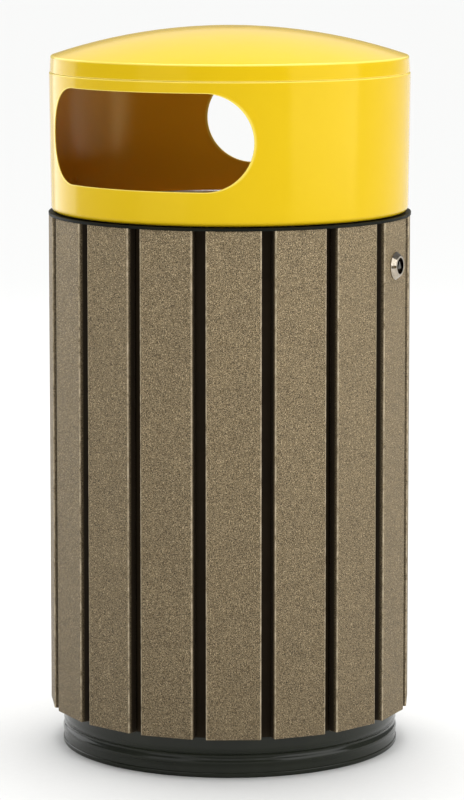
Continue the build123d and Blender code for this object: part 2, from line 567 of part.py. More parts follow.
# Moving half: a strap riveted to the hood's wall, bent out over the top of the pin.
LEAF_HALF_WIDTH = 11.5
LEAF_BACK = 206.7
LEAF_THICKNESS = 2.0
LEAF_FOOT, LEAF_TOP = 630.0, 660.0
LEAF_BRIDGE_HEIGHT, LEAF_BRIDGE_THICKNESS = 631.0, 2.0
with BuildPart() as hinge_leaf:
    with BuildSketch(cutting(HINGE_BEARING)):
        with Locations((LEAF_BACK + LEAF_THICKNESS / 2, (LEAF_FOOT + LEAF_TOP) / 2)):
            Rectangle(LEAF_THICKNESS, LEAF_TOP - LEAF_FOOT)
        with Locations(((LEAF_BACK + HINGE_REACH) / 2, LEAF_BRIDGE_HEIGHT)):
            Rectangle(HINGE_REACH - LEAF_BACK, LEAF_BRIDGE_THICKNESS)
        with Locations((HINGE_REACH, HINGE_HEIGHT)):
            Circle(KNUCKLE_RADIUS)
            Circle(PIN_RADIUS + HOLE_PLAY, mode=Mode.SUBTRACT)
    extrude(amount=LEAF_HALF_WIDTH, both=True)
    with BuildSketch(facing(HINGE_BEARING, LEAF_RIVET_HEIGHT, LEAF_BACK)):
        with Locations((-LEAF_RIVET_ACROSS, 0), (LEAF_RIVET_ACROSS, 0)):
            Circle(RIVET_RADIUS + HOLE_PLAY)
    extrude(amount=LEAF_THICKNESS, mode=Mode.SUBTRACT)
save(hinge_leaf, "hinge_leaf")

# Pin through ears and knuckle, headed at both ends.
PIN_HEAD_RADIUS, PIN_HEAD_HEIGHT = 3.8, 1.6
with BuildPart() as hinge_pin:
    with BuildSketch(cutting(HINGE_BEARING)):
        with Locations((HINGE_REACH, HINGE_HEIGHT)):
            Circle(PIN_RADIUS)
    extrude(amount=EAR_FAR, both=True)
    for side in (-1, 1):
        with BuildSketch(cutting(HINGE_BEARING).offset(side * EAR_FAR)):
            with Locations((HINGE_REACH, HINGE_HEIGHT)):
                Circle(PIN_HEAD_RADIUS)
        extrude(amount=side * PIN_HEAD_HEIGHT)
save(hinge_pin, "hinge_pin")

# Two rivets hold the strap to the wall. The wall's inside curves away under their inner heads.
LEAF_HEAD_RADIUS = 4.0
WALL_REACH = chord_reach(HOOD_RADIUS - HOOD_WALL, LEAF_RIVET_ACROSS + LEAF_HEAD_RADIUS)
leaf_rivet = make_rivet(LEAF_BACK + LEAF_THICKNESS - WALL_REACH, LEAF_HEAD_RADIUS)
with BuildPart() as hinge_rivets:
    with Locations(facing(HINGE_BEARING, LEAF_RIVET_HEIGHT, WALL_REACH)):
        with Locations((-LEAF_RIVET_ACROSS, 0), (LEAF_RIVET_ACROSS, 0)):
            add(leaf_rivet)
save(hinge_rivets, "hinge_rivets")

# ---------------------------------------------------------------- liner

# Galvanised bucket that hangs by its rolled rim on the inner edge of the top ring.
RIM_GAP = 0.3
RIM_BITE = 0.15             # how far the rim's wire sinks into the wall that is rolled round it
RIM_REACH = LINER_RADIUS + LINER_RIM_WIRE - RIM_BITE
PLATE_RIVET_TURN = 8.0
RIM_CENTRE = RING_TOP + RIM_GAP + LINER_RIM_WIRE
with BuildPart() as liner_shell:
    with BuildSketch(Plane.XZ):
        with Locations((LINER_RADIUS - LINER_WALL / 2, (LINER_FOOT + RIM_CENTRE) / 2)):
            Rectangle(LINER_WALL, RIM_CENTRE - LINER_FOOT)
        with Locations((RIM_REACH, RIM_CENTRE)):
            Circle(LINER_RIM_WIRE)
    revolve(axis=Axis.Z)
    for middle in MOUTH_BEARINGS:
        for side in (-1, 1):
            with BuildSketch(facing(middle + side * PLATE_RIVET_TURN, HANDLE_HEIGHT)):
                Circle(RIVET_RADIUS + HOLE_PLAY)
            extrude(amount=LINER_RADIUS + CUT_MARGIN, mode=Mode.SUBTRACT)
save(liner_shell, "liner_shell")

# Floor pressed into the bucket: its edge turns down along the wall. Four holes drain it.
LINER_INSIDE = LINER_RADIUS - LINER_WALL
LINER_FLOOR_BEND = 3.0
with BuildPart() as liner_floor:
    with BuildSketch(Plane.XZ):
        with BuildLine():
            FilletPolyline(
                (0, LINER_FLOOR + LINER_WALL),
                (LINER_INSIDE, LINER_FLOOR + LINER_WALL),
                (LINER_INSIDE, LINER_FOOT),
                radius=LINER_FLOOR_BEND,
            )
            offset(amount=LINER_WALL, side=Side.RIGHT)
        make_face()
    revolve(axis=Axis.Z)
    with BuildSketch(Plane.XY.offset(LINER_FLOOR)):
        with PolarLocations(DRAIN_PCD / 2, 4, start_angle=45):
            Circle(DRAIN_RADIUS)
    extrude(amount=LINER_WALL, mode=Mode.SUBTRACT)
save(liner_floor, "liner_floor")

# A drop handle on each side: a bent wire hooked into the ears of a plate riveted to the wall.
HANDLE_PLATE = 1.3
PLATE_TURN, PLATE_HEIGHT, PLATE_GAP = 20.5, 24.0, 0.05
HANDLE_EAR, EAR_RADIUS, EAR_LENGTH, EAR_THICKNESS = 49.0, 5.5, 4.4, 2.0
HANDLE_BEND, HANDLE_END_BEND = 9.0, 3.2
HANDLE_END = HANDLE_EAR + 4.5
WIRE_PLAY = 0.1


def make_handle_plate(middle):
    """Curved plate inside the bucket's wall, with two ears that stand inwards from it."""
    with BuildPart() as plate:
        with BuildSketch(cutting(middle - PLATE_TURN)):
            with Locations((LINER_INSIDE - PLATE_GAP - HANDLE_PLATE / 2, HANDLE_HEIGHT)):
                Rectangle(HANDLE_PLATE, PLATE_HEIGHT)
        revolve(axis=Axis.Z, revolution_arc=2 * PLATE_TURN)
        for side in (-1, 1):
            with BuildSketch(cutting(middle).offset(side * HANDLE_EAR)):
                with Locations((HANDLE_REACH, HANDLE_HEIGHT)):
                    Circle(EAR_RADIUS)
                with Locations((HANDLE_REACH + EAR_LENGTH / 2, HANDLE_HEIGHT)):
                    Rectangle(EAR_LENGTH, 2 * EAR_RADIUS)
                with Locations((HANDLE_REACH, HANDLE_HEIGHT)):
                    Circle(HANDLE_WIRE + WIRE_PLAY, mode=Mode.SUBTRACT)
            extrude(amount=side * EAR_THICKNESS)
        for side in (-1, 1):
            with BuildSketch(facing(middle + side * PLATE_RIVET_TURN, HANDLE_HEIGHT, HANDLE_REACH)):
                Circle(RIVET_RADIUS + HOLE_PLAY)
            extrude(amount=LINER_RADIUS - HANDLE_REACH, mode=Mode.SUBTRACT)
    return plate


def make_handle(middle):
    """Drop handle: a wire that hangs in a U from the plate's two ears."""
    swing = facing(middle, HANDLE_HEIGHT, HANDLE_REACH)
    with BuildPart() as handle:
        with BuildLine(swing):
            wire = FilletPolyline(
                (-HANDLE_END, 0),
                (-HANDLE_HALF_WIDTH, 0),
                (-HANDLE_HALF_WIDTH, -HANDLE_DROP),
                (HANDLE_HALF_WIDTH, -HANDLE_DROP),
                (HANDLE_HALF_WIDTH, 0),
                (HANDLE_END, 0),
                radius=[HANDLE_END_BEND, HANDLE_BEND, HANDLE_BEND, HANDLE_END_BEND],
            )
        with BuildSketch(Plane(origin=wire @ 0, z_dir=wire % 0)):
            Circle(HANDLE_WIRE)
        sweep()
    return handle


for middle, place in zip(MOUTH_BEARINGS, ("front", "rear")):
    save(make_handle_plate(middle), f"handle_plate_{place}")
    save(make_handle(middle), f"liner_handle_{place}")

# Two rivets hold each plate to the bucket's wall.
PLATE_INSIDE = chord_reach(LINER_INSIDE - PLATE_GAP - HANDLE_PLATE, SMALL_HEAD_RADIUS)
plate_rivet = make_rivet(LINER_RADIUS - PLATE_INSIDE, SMALL_HEAD_RADIUS, SMALL_HEAD_HEIGHT)
with BuildPart() as handle_rivets:
    for middle in MOUTH_BEARINGS:
        for side in (-1, 1):
            with Locations(facing(middle + side * PLATE_RIVET_TURN, HANDLE_HEIGHT, PLATE_INSIDE)):
                add(plate_rivet)
save(handle_rivets, "handle_rivets")
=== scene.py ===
import bpy
import numpy as np
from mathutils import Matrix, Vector


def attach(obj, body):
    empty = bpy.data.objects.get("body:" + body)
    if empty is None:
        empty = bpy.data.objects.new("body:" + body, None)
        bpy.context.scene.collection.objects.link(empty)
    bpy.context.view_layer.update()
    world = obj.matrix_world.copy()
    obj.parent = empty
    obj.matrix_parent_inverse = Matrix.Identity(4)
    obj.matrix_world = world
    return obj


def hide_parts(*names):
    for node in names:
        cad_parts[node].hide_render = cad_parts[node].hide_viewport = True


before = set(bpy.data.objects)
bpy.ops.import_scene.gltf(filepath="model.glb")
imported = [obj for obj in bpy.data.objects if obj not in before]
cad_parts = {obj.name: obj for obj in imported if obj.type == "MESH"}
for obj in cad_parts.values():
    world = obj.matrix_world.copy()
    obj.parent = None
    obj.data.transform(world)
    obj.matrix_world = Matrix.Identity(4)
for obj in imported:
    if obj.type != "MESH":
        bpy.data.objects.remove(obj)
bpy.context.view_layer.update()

# Round litter bin for streets: a steel body clad with upright boards, a yellow hinged hood with
# two opposite mouths, a lock and a liner. Sizes are in millimetres and skin() turns them to
# metres. A bearing goes round the bin from its front (-Y) towards +X, in degrees.

# ---------------------------------------------------------------- base

# The foot ring is a turned steel ring under the rolled skirt, which shows below the boards with
# its ridge and its groove. Both are sprayed in a gloss black-green paint, with road dust on top.
FOOT_RADIUS = 195.3
FOOT_TOP = 5.5
FOOT_INNER = 189.0
COLLAR_REACH = 192.5
COLLAR_TOP = 18.0
SKIRT_RADIUS = 194.5
SKIRT_WALL = 2.0
SKIRT_TOP = 46.0
SKIRT_EASE, SKIRT_LOW_ROW, SKIRT_HIGH_ROW = 0.3, 10.0, 34.0
RIDGE_ROWS, GROOVE_ROWS = 15, 19
LIP_EDGE, CUT_EASE, COLLAR_EASE = 1.2, 0.3, 0.4
WORN_RADIUS, WORN_TURN = 4.0, 0.5
RIDGE_LOW, RIDGE_HIGH, RIDGE_DEPTH = 14.5, 20.0, 0.8
GROOVE_HIGH, GROOVE_DEPTH = 27.0, 1.8
BLACK_PAINT = (0.0085, 0.0105, 0.0060, 1)
BLACK_PAINT_FADED = (0.0140, 0.0165, 0.0090, 1)
ROAD_DUST = (0.36, 0.33, 0.27, 1)
INNER_MATTNESS = 0.06
NEUTRAL = (1, 1, 1, 1)


def rounded(corners, steps=8):
    """Outline (x, y, outward x, outward y, edge) through corners (x, y, radius), anticlockwise
    round the metal. At each corner an arc touches both sides, and the outward direction turns
    evenly along it. Edge is 1 at the middle of a sharp outer corner and 0 on flats, and a corner
    is sharp when its radius is small and it turns enough."""
    corner = np.array(corners, float)
    spot, radius = corner[:, :2], corner[:, 2:]
    coming = spot - np.roll(spot, 1, axis=0)
    coming /= np.linalg.norm(coming, axis=1, keepdims=True)
    going = np.roll(coming, -1, axis=0)
    turn = np.arctan2(
        coming[:, 0] * going[:, 1] - coming[:, 1] * going[:, 0],
        (coming * going).sum(axis=1),
    )[:, None]
    side = np.sign(turn)
    start = spot - coming * radius * np.tan(np.abs(turn) / 2)
    facing = np.arctan2(-coming[:, 0], coming[:, 1])[:, None]
    middle = start - side * radius * np.concatenate([np.cos(facing), np.sin(facing)], axis=1)
    part = np.linspace(0, 1, steps + 1)[None, :]
    angle = facing + turn * part
    out = np.stack([np.cos(angle), np.sin(angle)], axis=-1)
    place = middle[:, None] + (side * radius)[:, None] * out
    sharp = (side > 0) * (radius < WORN_RADIUS) * (np.abs(turn) > WORN_TURN)
    edge = np.sin(np.pi * part) * sharp
    return np.concatenate([place, out, edge[..., None]], axis=-1).reshape(-1, 5)


def turned(outline, count=192, closed=True):
    """Grid of points: an outline (reach, height) carried in even steps once round the Z axis."""
    ring = np.concatenate([outline, outline[:1]]) if closed else outline
    bearing = np.radians(np.linspace(-90, 270, count + 1))[:, None]
    reach, height, out, up, edge = (ring[None, :, k] for k in range(5))
    flat = np.ones_like(bearing)
    return np.stack([
        reach * np.sin(bearing), -reach * np.cos(bearing), height * flat,
        out * np.sin(bearing), -out * np.cos(bearing), up * flat, edge * flat,
    ], axis=-1)


def skin(name, *grids):
    """One mesh out of grids of (point, outward direction, edge). Points that meet are joined,
    a cell with a side of no length becomes a triangle, and each face is wound to face outwards.
    The outward directions are kept as the mesh's normals, so flats stay flat beside roundings."""
    rows = np.concatenate([grid.reshape(-1, 7) for grid in grids])
    cells = []
    first = 0
    for grid in grids:
        number = first + np.arange(grid.shape[0] * grid.shape[1]).reshape(grid.shape[:2])
        sides = [number[:-1, :-1], number[1:, :-1], number[1:, 1:], number[:-1, 1:]]
        cells.append(np.stack(sides, axis=-1).reshape(-1, 4))
        first += number.size
    _, keep, joined = np.unique(np.round(rows[:, :3], 3) + 0.0, axis=0,
                                return_index=True, return_inverse=True)
    cells = joined.reshape(-1)[np.concatenate(cells)]
    out = np.zeros((len(keep), 3))
    np.add.at(out, joined.reshape(-1), rows[:, 3:6])
    out /= np.maximum(np.linalg.norm(out, axis=1, keepdims=True), 1e-9)
    spot = rows[keep, :3]
    around = spot[cells]
    area = np.cross(around[:, 2] - around[:, 0], around[:, 3] - around[:, 1])
    inside_out = (area * out[cells].sum(axis=1)).sum(axis=1) < 0
    cells[inside_out] = cells[inside_out, ::-1]
    same = cells == np.roll(cells, -1, axis=1)
    solid = np.linalg.norm(area, axis=1) > 1e-6
    quads = cells[(same.sum(axis=1) == 0) & solid]
    narrow = (same.sum(axis=1) == 1) & solid
    corners = cells[narrow][~same[narrow]].reshape(-1, 3)
    mesh = bpy.data.meshes.new(name)
    mesh.from_pydata(spot / 1000, [], quads.tolist() + corners.tolist())
    mesh.update()
    mesh.shade_smooth()
    mesh.normals_split_custom_set_from_vertices(out.tolist())
    mesh.attributes.new("edge", "FLOAT", "POINT").data.foreach_set("value", rows[keep, 6])
    piece = bpy.data.objects.new(name, mesh)
    bpy.context.scene.collection.objects.link(piece)
    return piece


def dressed(piece, finish, slot, body, *stands_for):
    """Gives a new piece its finish, its body and the nodes that it stands for. Its slot is not used."""
    piece.data.materials.append(finish)
    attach(piece, body)
    if stands_for:
        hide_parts(*stands_for)
    return piece


def refinished(finish, *names):
    """Gives CAD nodes a better finish."""
    for name in names:
        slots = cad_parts[name].data.materials
        slots.clear()
        slots.append(finish)


def add(tree, kind, inputs=None, **settings):
    """Puts a node in a tree. Inputs are numbers and colours, or the outputs of earlier nodes."""
    node = tree.nodes.new(kind)
    for label, value in settings.items():
        setattr(node, label, value)
    for label, value in (inputs or {}).items():
        if isinstance(value, bpy.types.NodeSocket):
            tree.links.new(value, node.inputs[label])
        else:
            node.inputs[label].default_value = value
    return node


def mixed(tree, mask, low, high):
    """Colour that goes from low to high as a mask goes from 0 to 1."""
    node = add(tree, "ShaderNodeMix", data_type="RGBA")
    for place, value in ((0, mask), (6, low), (7, high)):
        if isinstance(value, bpy.types.NodeSocket):
            tree.links.new(value, node.inputs[place])
        else:
            node.inputs[place].default_value = value
    return node.outputs[2]


def ranged(tree, value, low, high):
    """Number that goes from low to high as a value goes from 0 to 1."""
    inputs = {"Value": value, "To Min": low, "To Max": high}
    return add(tree, "ShaderNodeMapRange", inputs).outputs["Result"]


def group(name, inputs, outputs):
    """Empty node group with named number inputs and outputs, ready to be filled."""
    tree = bpy.data.node_groups.new(name, "ShaderNodeTree")
    for label, value in inputs.items():
        kind = "NodeSocketVector" if value is None else "NodeSocketFloat"
        socket = tree.interface.new_socket(label, in_out="INPUT", socket_type=kind)
        if value is not None:
            socket.default_value = value
    for label in outputs:
        tree.interface.new_socket(label, in_out="OUTPUT", socket_type="NodeSocketFloat")
    return tree, tree.nodes.new("NodeGroupInput").outputs, tree.nodes.new("NodeGroupOutput").inputs


# Cloud: soft noise of a given grain size, spread to fill the range from 0 to 1. Its scale is the
# number of grains in a metre.
cloud, given, made = group("Cloud", {"Place": None, "Grain mm": 10.0, "Spread": 0.2}, ["Mask"])
frequency = add(cloud, "ShaderNodeMath", operation="DIVIDE")
frequency.inputs[0].default_value = 1000
cloud.links.new(given["Grain mm"], frequency.inputs[1])
noise = add(cloud, "ShaderNodeTexNoise", {
    "Vector": given["Place"], "Scale": frequency.outputs[0], "Detail": 3.0, "Roughness": 0.55})
floor_value = add(cloud, "ShaderNodeMath", operation="SUBTRACT")
floor_value.inputs[0].default_value = 0.5
cloud.links.new(given["Spread"], floor_value.inputs[1])
roof_value = add(cloud, "ShaderNodeMath", operation="ADD")
roof_value.inputs[0].default_value = 0.5
cloud.links.new(given["Spread"], roof_value.inputs[1])
stretched = add(cloud, "ShaderNodeMapRange", {
    "Value": noise.outputs["Fac"], "From Min": floor_value.outputs[0],
    "From Max": roof_value.outputs[0]})
cloud.links.new(stretched.outputs["Result"], made["Mask"])

# Dust: lies where a surface faces up, and thins out in clouds.
dust, given, made = group("Dust", {"Place": None, "Amount": 0.3, "Grain mm": 25.0}, ["Mask"])
surface = add(dust, "ShaderNodeNewGeometry")
facing_up = add(dust, "ShaderNodeSeparateXYZ", {"Vector": surface.outputs["Normal"]})
upward = add(dust, "ShaderNodeMapRange", {
    "Value": facing_up.outputs["Z"], "From Min": 0.1, "From Max": 1.0})
patches = add(dust, "ShaderNodeGroup", node_tree=cloud)
dust.links.new(given["Place"], patches.inputs["Place"])
dust.links.new(given["Grain mm"], patches.inputs["Grain mm"])
lying = add(dust, "ShaderNodeMath", operation="MULTIPLY")
dust.links.new(upward.outputs["Result"], lying.inputs[0])
dust.links.new(patches.outputs["Mask"], lying.inputs[1])
scaled = add(dust, "ShaderNodeMath", operation="MULTIPLY")
dust.links.new(lying.outputs[0], scaled.inputs[0])
dust.links.new(given["Amount"], scaled.inputs[1])
dust.links.new(scaled.outputs[0], made["Mask"])

# Rubbed edge: the piece's edge attribute, broken up by small clouds.
rubbed, given, made = group("Rubbed edge", {"Place": None, "Amount": 0.5, "Grain mm": 6.0}, ["Mask"])
edge_line = add(rubbed, "ShaderNodeAttribute", attribute_name="edge")
chips = add(rubbed, "ShaderNodeGroup", node_tree=cloud)
rubbed.links.new(given["Place"], chips.inputs["Place"])
rubbed.links.new(given["Grain mm"], chips.inputs["Grain mm"])
worn = add(rubbed, "ShaderNodeMath", operation="MULTIPLY")
rubbed.links.new(edge_line.outputs["Fac"], worn.inputs[0])
rubbed.links.new(chips.outputs["Mask"], worn.inputs[1])
scaled = add(rubbed, "ShaderNodeMath", operation="MULTIPLY")
rubbed.links.new(worn.outputs[0], scaled.inputs[0])
rubbed.links.new(given["Amount"], scaled.inputs[1])
rubbed.links.new(scaled.outputs[0], made["Mask"])


def effect(tree, kind, place, **values):
    """Puts one of the shared groups in a material and returns its mask."""
    node = add(tree, "ShaderNodeGroup", node_tree=kind)
    tree.links.new(place, node.inputs["Place"])
    for label, value in values.items():
        node.inputs[label.replace("_", " ")].default_value = value
    return node.outputs["Mask"]


def new_finish(name, **constants):
    """Material with a Principled shader whose plain sockets are set. Returns the material, its
    tree, the shader and the piece's own coordinates."""
    finish = bpy.data.materials.new(name)
    finish.use_nodes = True
    tree = finish.node_tree
    shader = tree.nodes["Principled BSDF"]
    for label, value in constants.items():
        shader.inputs[label.replace("_", " ")].default_value = value
    place = add(tree, "ShaderNodeTexCoord").outputs["Object"]
    return finish, tree, shader, place


def bumped(tree, shader, height, depth_mm, strength=1.0):
    """Roughens the shader's surface by a height from 0 to 1."""
    bump = add(tree, "ShaderNodeBump", {
        "Height": height, "Distance": depth_mm / 1000, "Strength": strength})
    tree.links.new(bump.outputs["Normal"], shader.inputs["Normal"])


def sprayed_paint(name, colour, faded, roughness, dirt, peel_mm,
                  inner=None, shine=0.5, edge_highlight=None, gleam=NEUTRAL):
    """Sprayed coat: faint clouds of tone, orange peel, rubbed edges and dust on what faces up.
    Where the piece's inside attribute is 1, the coat has the inner colour, as painted shade. With an
    edge highlight colour, all of an edge has it as a painted highlight instead of being rubbed.
    Shine and gleam are the coat's gloss and its tint."""
    finish, tree, shader, place = new_finish(name, Specular_IOR_Level=shine, Specular_Tint=gleam)
    tone = mixed(tree, effect(tree, cloud, place, Grain_mm=60.0, Spread=0.25), colour, faded)
    if inner:
        within = add(tree, "ShaderNodeAttribute", attribute_name="inside").outputs["Fac"]
        tone = mixed(tree, within, tone, inner)
    # With an edge highlight colour, the edge attribute paints a pale highlight along the edges.
    if edge_highlight:
        edge = add(tree, "ShaderNodeAttribute", attribute_name="edge").outputs["Fac"]
    else:
        edge = effect(tree, rubbed, place, Amount=0.45)
    tone = mixed(tree, edge, tone, edge_highlight or faded)
    grime = effect(tree, dust, place, Amount=dirt)
    tree.links.new(mixed(tree, grime, tone, ROAD_DUST), shader.inputs["Base Color"])
    sheen = ranged(tree, effect(tree, cloud, place, Grain_mm=18.0, Spread=0.3), *roughness)
    if inner:
        matt = add(tree, "ShaderNodeMath", operation="MULTIPLY_ADD")
        tree.links.new(within, matt.inputs[0])
        matt.inputs[1].default_value = INNER_MATTNESS
        tree.links.new(sheen, matt.inputs[2])
        sheen = matt.outputs[0]
    tree.links.new(sheen, shader.inputs["Roughness"])
    peel = effect(tree, cloud, place, Grain_mm=peel_mm, Spread=0.35)
    bumped(tree, shader, peel, depth_mm=0.03)
    return finish


black_paint = sprayed_paint(
    "black_paint", BLACK_PAINT, BLACK_PAINT_FADED,
    roughness=(0.12, 0.22), dirt=0.02, peel_mm=1.6, shine=0.3)
foot_outline = rounded([
    (FOOT_INNER, 0, CUT_EASE), (FOOT_RADIUS, 0, LIP_EDGE), (FOOT_RADIUS, FOOT_TOP, LIP_EDGE),
    (COLLAR_REACH, FOOT_TOP, CUT_EASE), (COLLAR_REACH, COLLAR_TOP, COLLAR_EASE),
    (FOOT_INNER, COLLAR_TOP, COLLAR_EASE),
])
foot = skin("foot_lip", turned(foot_outline))
dressed(foot, black_paint, "black_paint", "body", "foot_ring")


def rolled_wall(heights):
    """Outward shift of the skirt's wall at each height: half a sine wave out over the ridge and
    one in over the groove, so sin(pi t) times the depth, where t goes from 0 to 1 across each."""
    over_ridge = np.clip((heights - RIDGE_LOW) / (RIDGE_HIGH - RIDGE_LOW), 0, 1)
    over_groove = np.clip((heights - RIDGE_HIGH) / (GROOVE_HIGH - RIDGE_HIGH), 0, 1)
    return RIDGE_DEPTH * np.sin(np.pi * over_ridge) - GROOVE_DEPTH * np.sin(np.pi * over_groove)


def skirt_outline():
    """Closed section of the skirt: its outer face rolled, its inner face the same, a wall apart."""
    heights = np.concatenate([
        [FOOT_TOP + SKIRT_EASE, SKIRT_LOW_ROW], np.linspace(RIDGE_LOW, RIDGE_HIGH, RIDGE_ROWS),
        np.linspace(RIDGE_HIGH, GROOVE_HIGH, GROOVE_ROWS)[1:],
        [SKIRT_HIGH_ROW, SKIRT_TOP - SKIRT_EASE]])
    shift = rolled_wall(heights)
    slope = np.gradient(shift, heights)
    length = np.hypot(1, slope)
    outer = np.stack([
        SKIRT_RADIUS + shift, heights, 1 / length, -slope / length, 0 * heights], axis=1)
    inner = outer[::-1].copy()
    inner[:, :2] -= SKIRT_WALL * inner[:, 2:4]
    inner[:, 2:4] *= -1
    lid = np.array([
        [SKIRT_RADIUS - SKIRT_EASE, SKIRT_TOP, 0, 1, 0],
        [SKIRT_RADIUS - SKIRT_WALL + SKIRT_EASE, SKIRT_TOP, 0, 1, 0]])
    hem = lid[::-1] * [1, 0, 1, -1, 1] + [0, FOOT_TOP, 0, 0, 0]
    return np.concatenate([outer, lid, inner, hem])


dressed(skin("rolled_skirt", turned(skirt_outline())), black_paint, "black_paint", "body", "base_skirt")
refinished(black_paint, "base_plate")

# ---------------------------------------------------------------- body shell and top ring

# The shell is a rolled steel tube behind the boards, painted brown and darkened further with
# painted shade, and it only shows as dark strips between them. The flat ring on top is cut from
# plate and carries the hood.
SHELL_RADIUS = 194.5
SHELL_INSIDE = 192.5
BOARD_TOP = 618.0
# The shell's brown is darkened into painted shade between the boards.
SHELL_SHADED_BROWN = (0.016, 0.010, 0.0045, 1)
SHELL_SHADED_BROWN_FADED = (0.026, 0.017, 0.008, 1)
RING_TOP = 621.0
RING_BLACK = (0.004, 0.004, 0.003, 1)

shell_paint = sprayed_paint(
    "shell_paint", SHELL_SHADED_BROWN, SHELL_SHADED_BROWN_FADED,
    roughness=(0.55, 0.7), dirt=0.03, peel_mm=2.0, shine=0.08)
shell_outline = rounded([
    (SHELL_INSIDE, SKIRT_TOP, CUT_EASE), (SHELL_RADIUS, SKIRT_TOP, CUT_EASE),
    (SHELL_RADIUS, BOARD_TOP, CUT_EASE), (SHELL_INSIDE, BOARD_TOP, CUT_EASE)])
dressed(skin("rolled_shell", turned(shell_outline)), shell_paint, "shell_paint", "body", "body_shell")
ring_paint = sprayed_paint(
    "ring_paint", RING_BLACK, BLACK_PAINT,
    roughness=(0.45, 0.6), dirt=0.01, peel_mm=1.6, shine=0.1)
refinished(ring_paint, "top_ring")

# ---------------------------------------------------------------- boards

# Seventeen composite boards of brown-grey grit in resin. Their long edges are planed round, and
# two screws from inside the shell hold each. Their flanks carry painted shade, darker further in,
# and the one at the lock is drilled.
BOARD_COUNT = 17
BOARD_WIDTH, BOARD_THICKNESS = 62.0, 13.0
BOARD_FACE, BOARD_FOOT = 207.7, 46.5
BOARD_EDGE, BOARD_END = 1.8, 0.8
SHADE_REACH, SHADE_END_REACH, SHADE_END = 204.5, 208.3, 0.2
FLANK_START, FLANK_SPAN = 0.7, 0.25
END_ROWS, LID_ROWS = 6, 3
LOCK_BEARING = 97.9
GRIT_DARK = (0.020, 0.014, 0.006, 1)
GRIT_MIDDLE = (0.190, 0.137, 0.070, 1)
GRIT_LIGHT = (0.520, 0.410, 0.250, 1)
GRIT_WORN_HIGHLIGHT = (0.660, 0.545, 0.375, 1)
SPECK_POWER = 3.0
BLOTCH_DARK, BLOTCH_LIGHT = (0.93, 0.93, 0.93, 1), (1.05, 1.05, 1.04, 1)
FLANK_PAINTED_SHADE = (0.026, 0.018, 0.010, 1)
FOOT_PAINTED_SHADE, TOP_PAINTED_LIGHT = (0.92, 0.92, 0.92, 1), (1.16, 1.16, 1.16, 1)

board_grit, tree, shader, place = new_finish("board_grit", Specular_IOR_Level=0.2)
fine = effect(tree, cloud, place, Grain_mm=0.75, Spread=0.045)
coarse = effect(tree, cloud, place, Grain_mm=0.9, Spread=0.14)
blotch = effect(tree, cloud, place, Grain_mm=30.0, Spread=0.25)
tone = mixed(tree, fine, GRIT_DARK, GRIT_MIDDLE)
light_grit = add(tree, "ShaderNodeMath", operation="POWER")
tree.links.new(coarse, light_grit.inputs[0])
light_grit.inputs[1].default_value = SPECK_POWER
tone = mixed(tree, light_grit.outputs[0], tone, GRIT_LIGHT)
shade = mixed(tree, blotch, BLOTCH_DARK, BLOTCH_LIGHT)
# Painted light from above: the boards' colour is darker at the foot and lighter towards the top.
height = add(tree, "ShaderNodeSeparateXYZ", {"Vector": place}).outputs["Z"]
painted_top_light = add(tree, "ShaderNodeMapRange", {
    "Value": height, "From Min": BOARD_FOOT / 1000, "From Max": BOARD_TOP / 1000}).outputs["Result"]
for factor in (shade, mixed(tree, painted_top_light, FOOT_PAINTED_SHADE, TOP_PAINTED_LIGHT)):
    tinted = add(tree, "ShaderNodeMix", data_type="RGBA", blend_type="MULTIPLY")
    tinted.inputs[0].default_value = 1.0
    tree.links.new(tone, tinted.inputs[6])
    tree.links.new(factor, tinted.inputs[7])
    tone = tinted.outputs[2]
# Worn edges, and a painted highlight along the boards' rounded long edges, in one light grit colour.
edge = effect(tree, rubbed, place, Amount=1.0, Grain_mm=9.0)
tone = mixed(tree, edge, tone, GRIT_WORN_HIGHLIGHT)
# Painted shade on the boards' flanks: full deep in the gaps, fading towards the front face.
flank = add(tree, "ShaderNodeAttribute", attribute_name="flank").outputs["Fac"]
level = add(tree, "ShaderNodeVectorMath", {0: place, 1: (1, 1, 0)}, operation="MULTIPLY").outputs[0]
reach = add(tree, "ShaderNodeVectorMath", {0: level}, operation="LENGTH").outputs["Value"]
depth = add(tree, "ShaderNodeMapRange", {
    "Value": reach, "From Min": SHADE_REACH / 1000, "From Max": SHADE_END_REACH / 1000,
    "To Min": 1.0, "To Max": SHADE_END}).outputs["Result"]
flank_shade = add(tree, "ShaderNodeMath", {0: flank, 1: depth}, operation="MULTIPLY").outputs[0]
tree.links.new(mixed(tree, flank_shade, tone, FLANK_PAINTED_SHADE), shader.inputs["Base Color"])
tree.links.new(ranged(tree, fine, low=0.48, high=0.66), shader.inputs["Roughness"])
bumped(tree, shader, fine, depth_mm=0.12, strength=0.6)


def direction(bearing):
    """Outward and round directions of a bearing."""
    turn = np.radians(bearing)
    return np.array([np.sin(turn), -np.cos(turn), 0]), np.array([np.cos(turn), np.sin(turn), 0])


BORE_RADIUS, BORE_EASE, LOCK_HEIGHT = 9.55, 0.4, 566.6
BORE_COUNT, BORE_ROWS = 48, 5


def stood(flat, rise, flat_out, up, edge, bearing):
    """Points (round, out) at heights, stood up at a bearing, each with its outward direction."""
    out, round_ = direction(bearing)
    upright = np.array([0, 0, 1.0])
    spot = flat[..., :1] * round_ + flat[..., 1:2] * out + rise[..., None] * upright
    normal = flat_out[..., :1] * round_ + flat_out[..., 1:2] * out + up[..., None] * upright
    return np.concatenate([spot, normal, edge[..., None]], axis=-1)


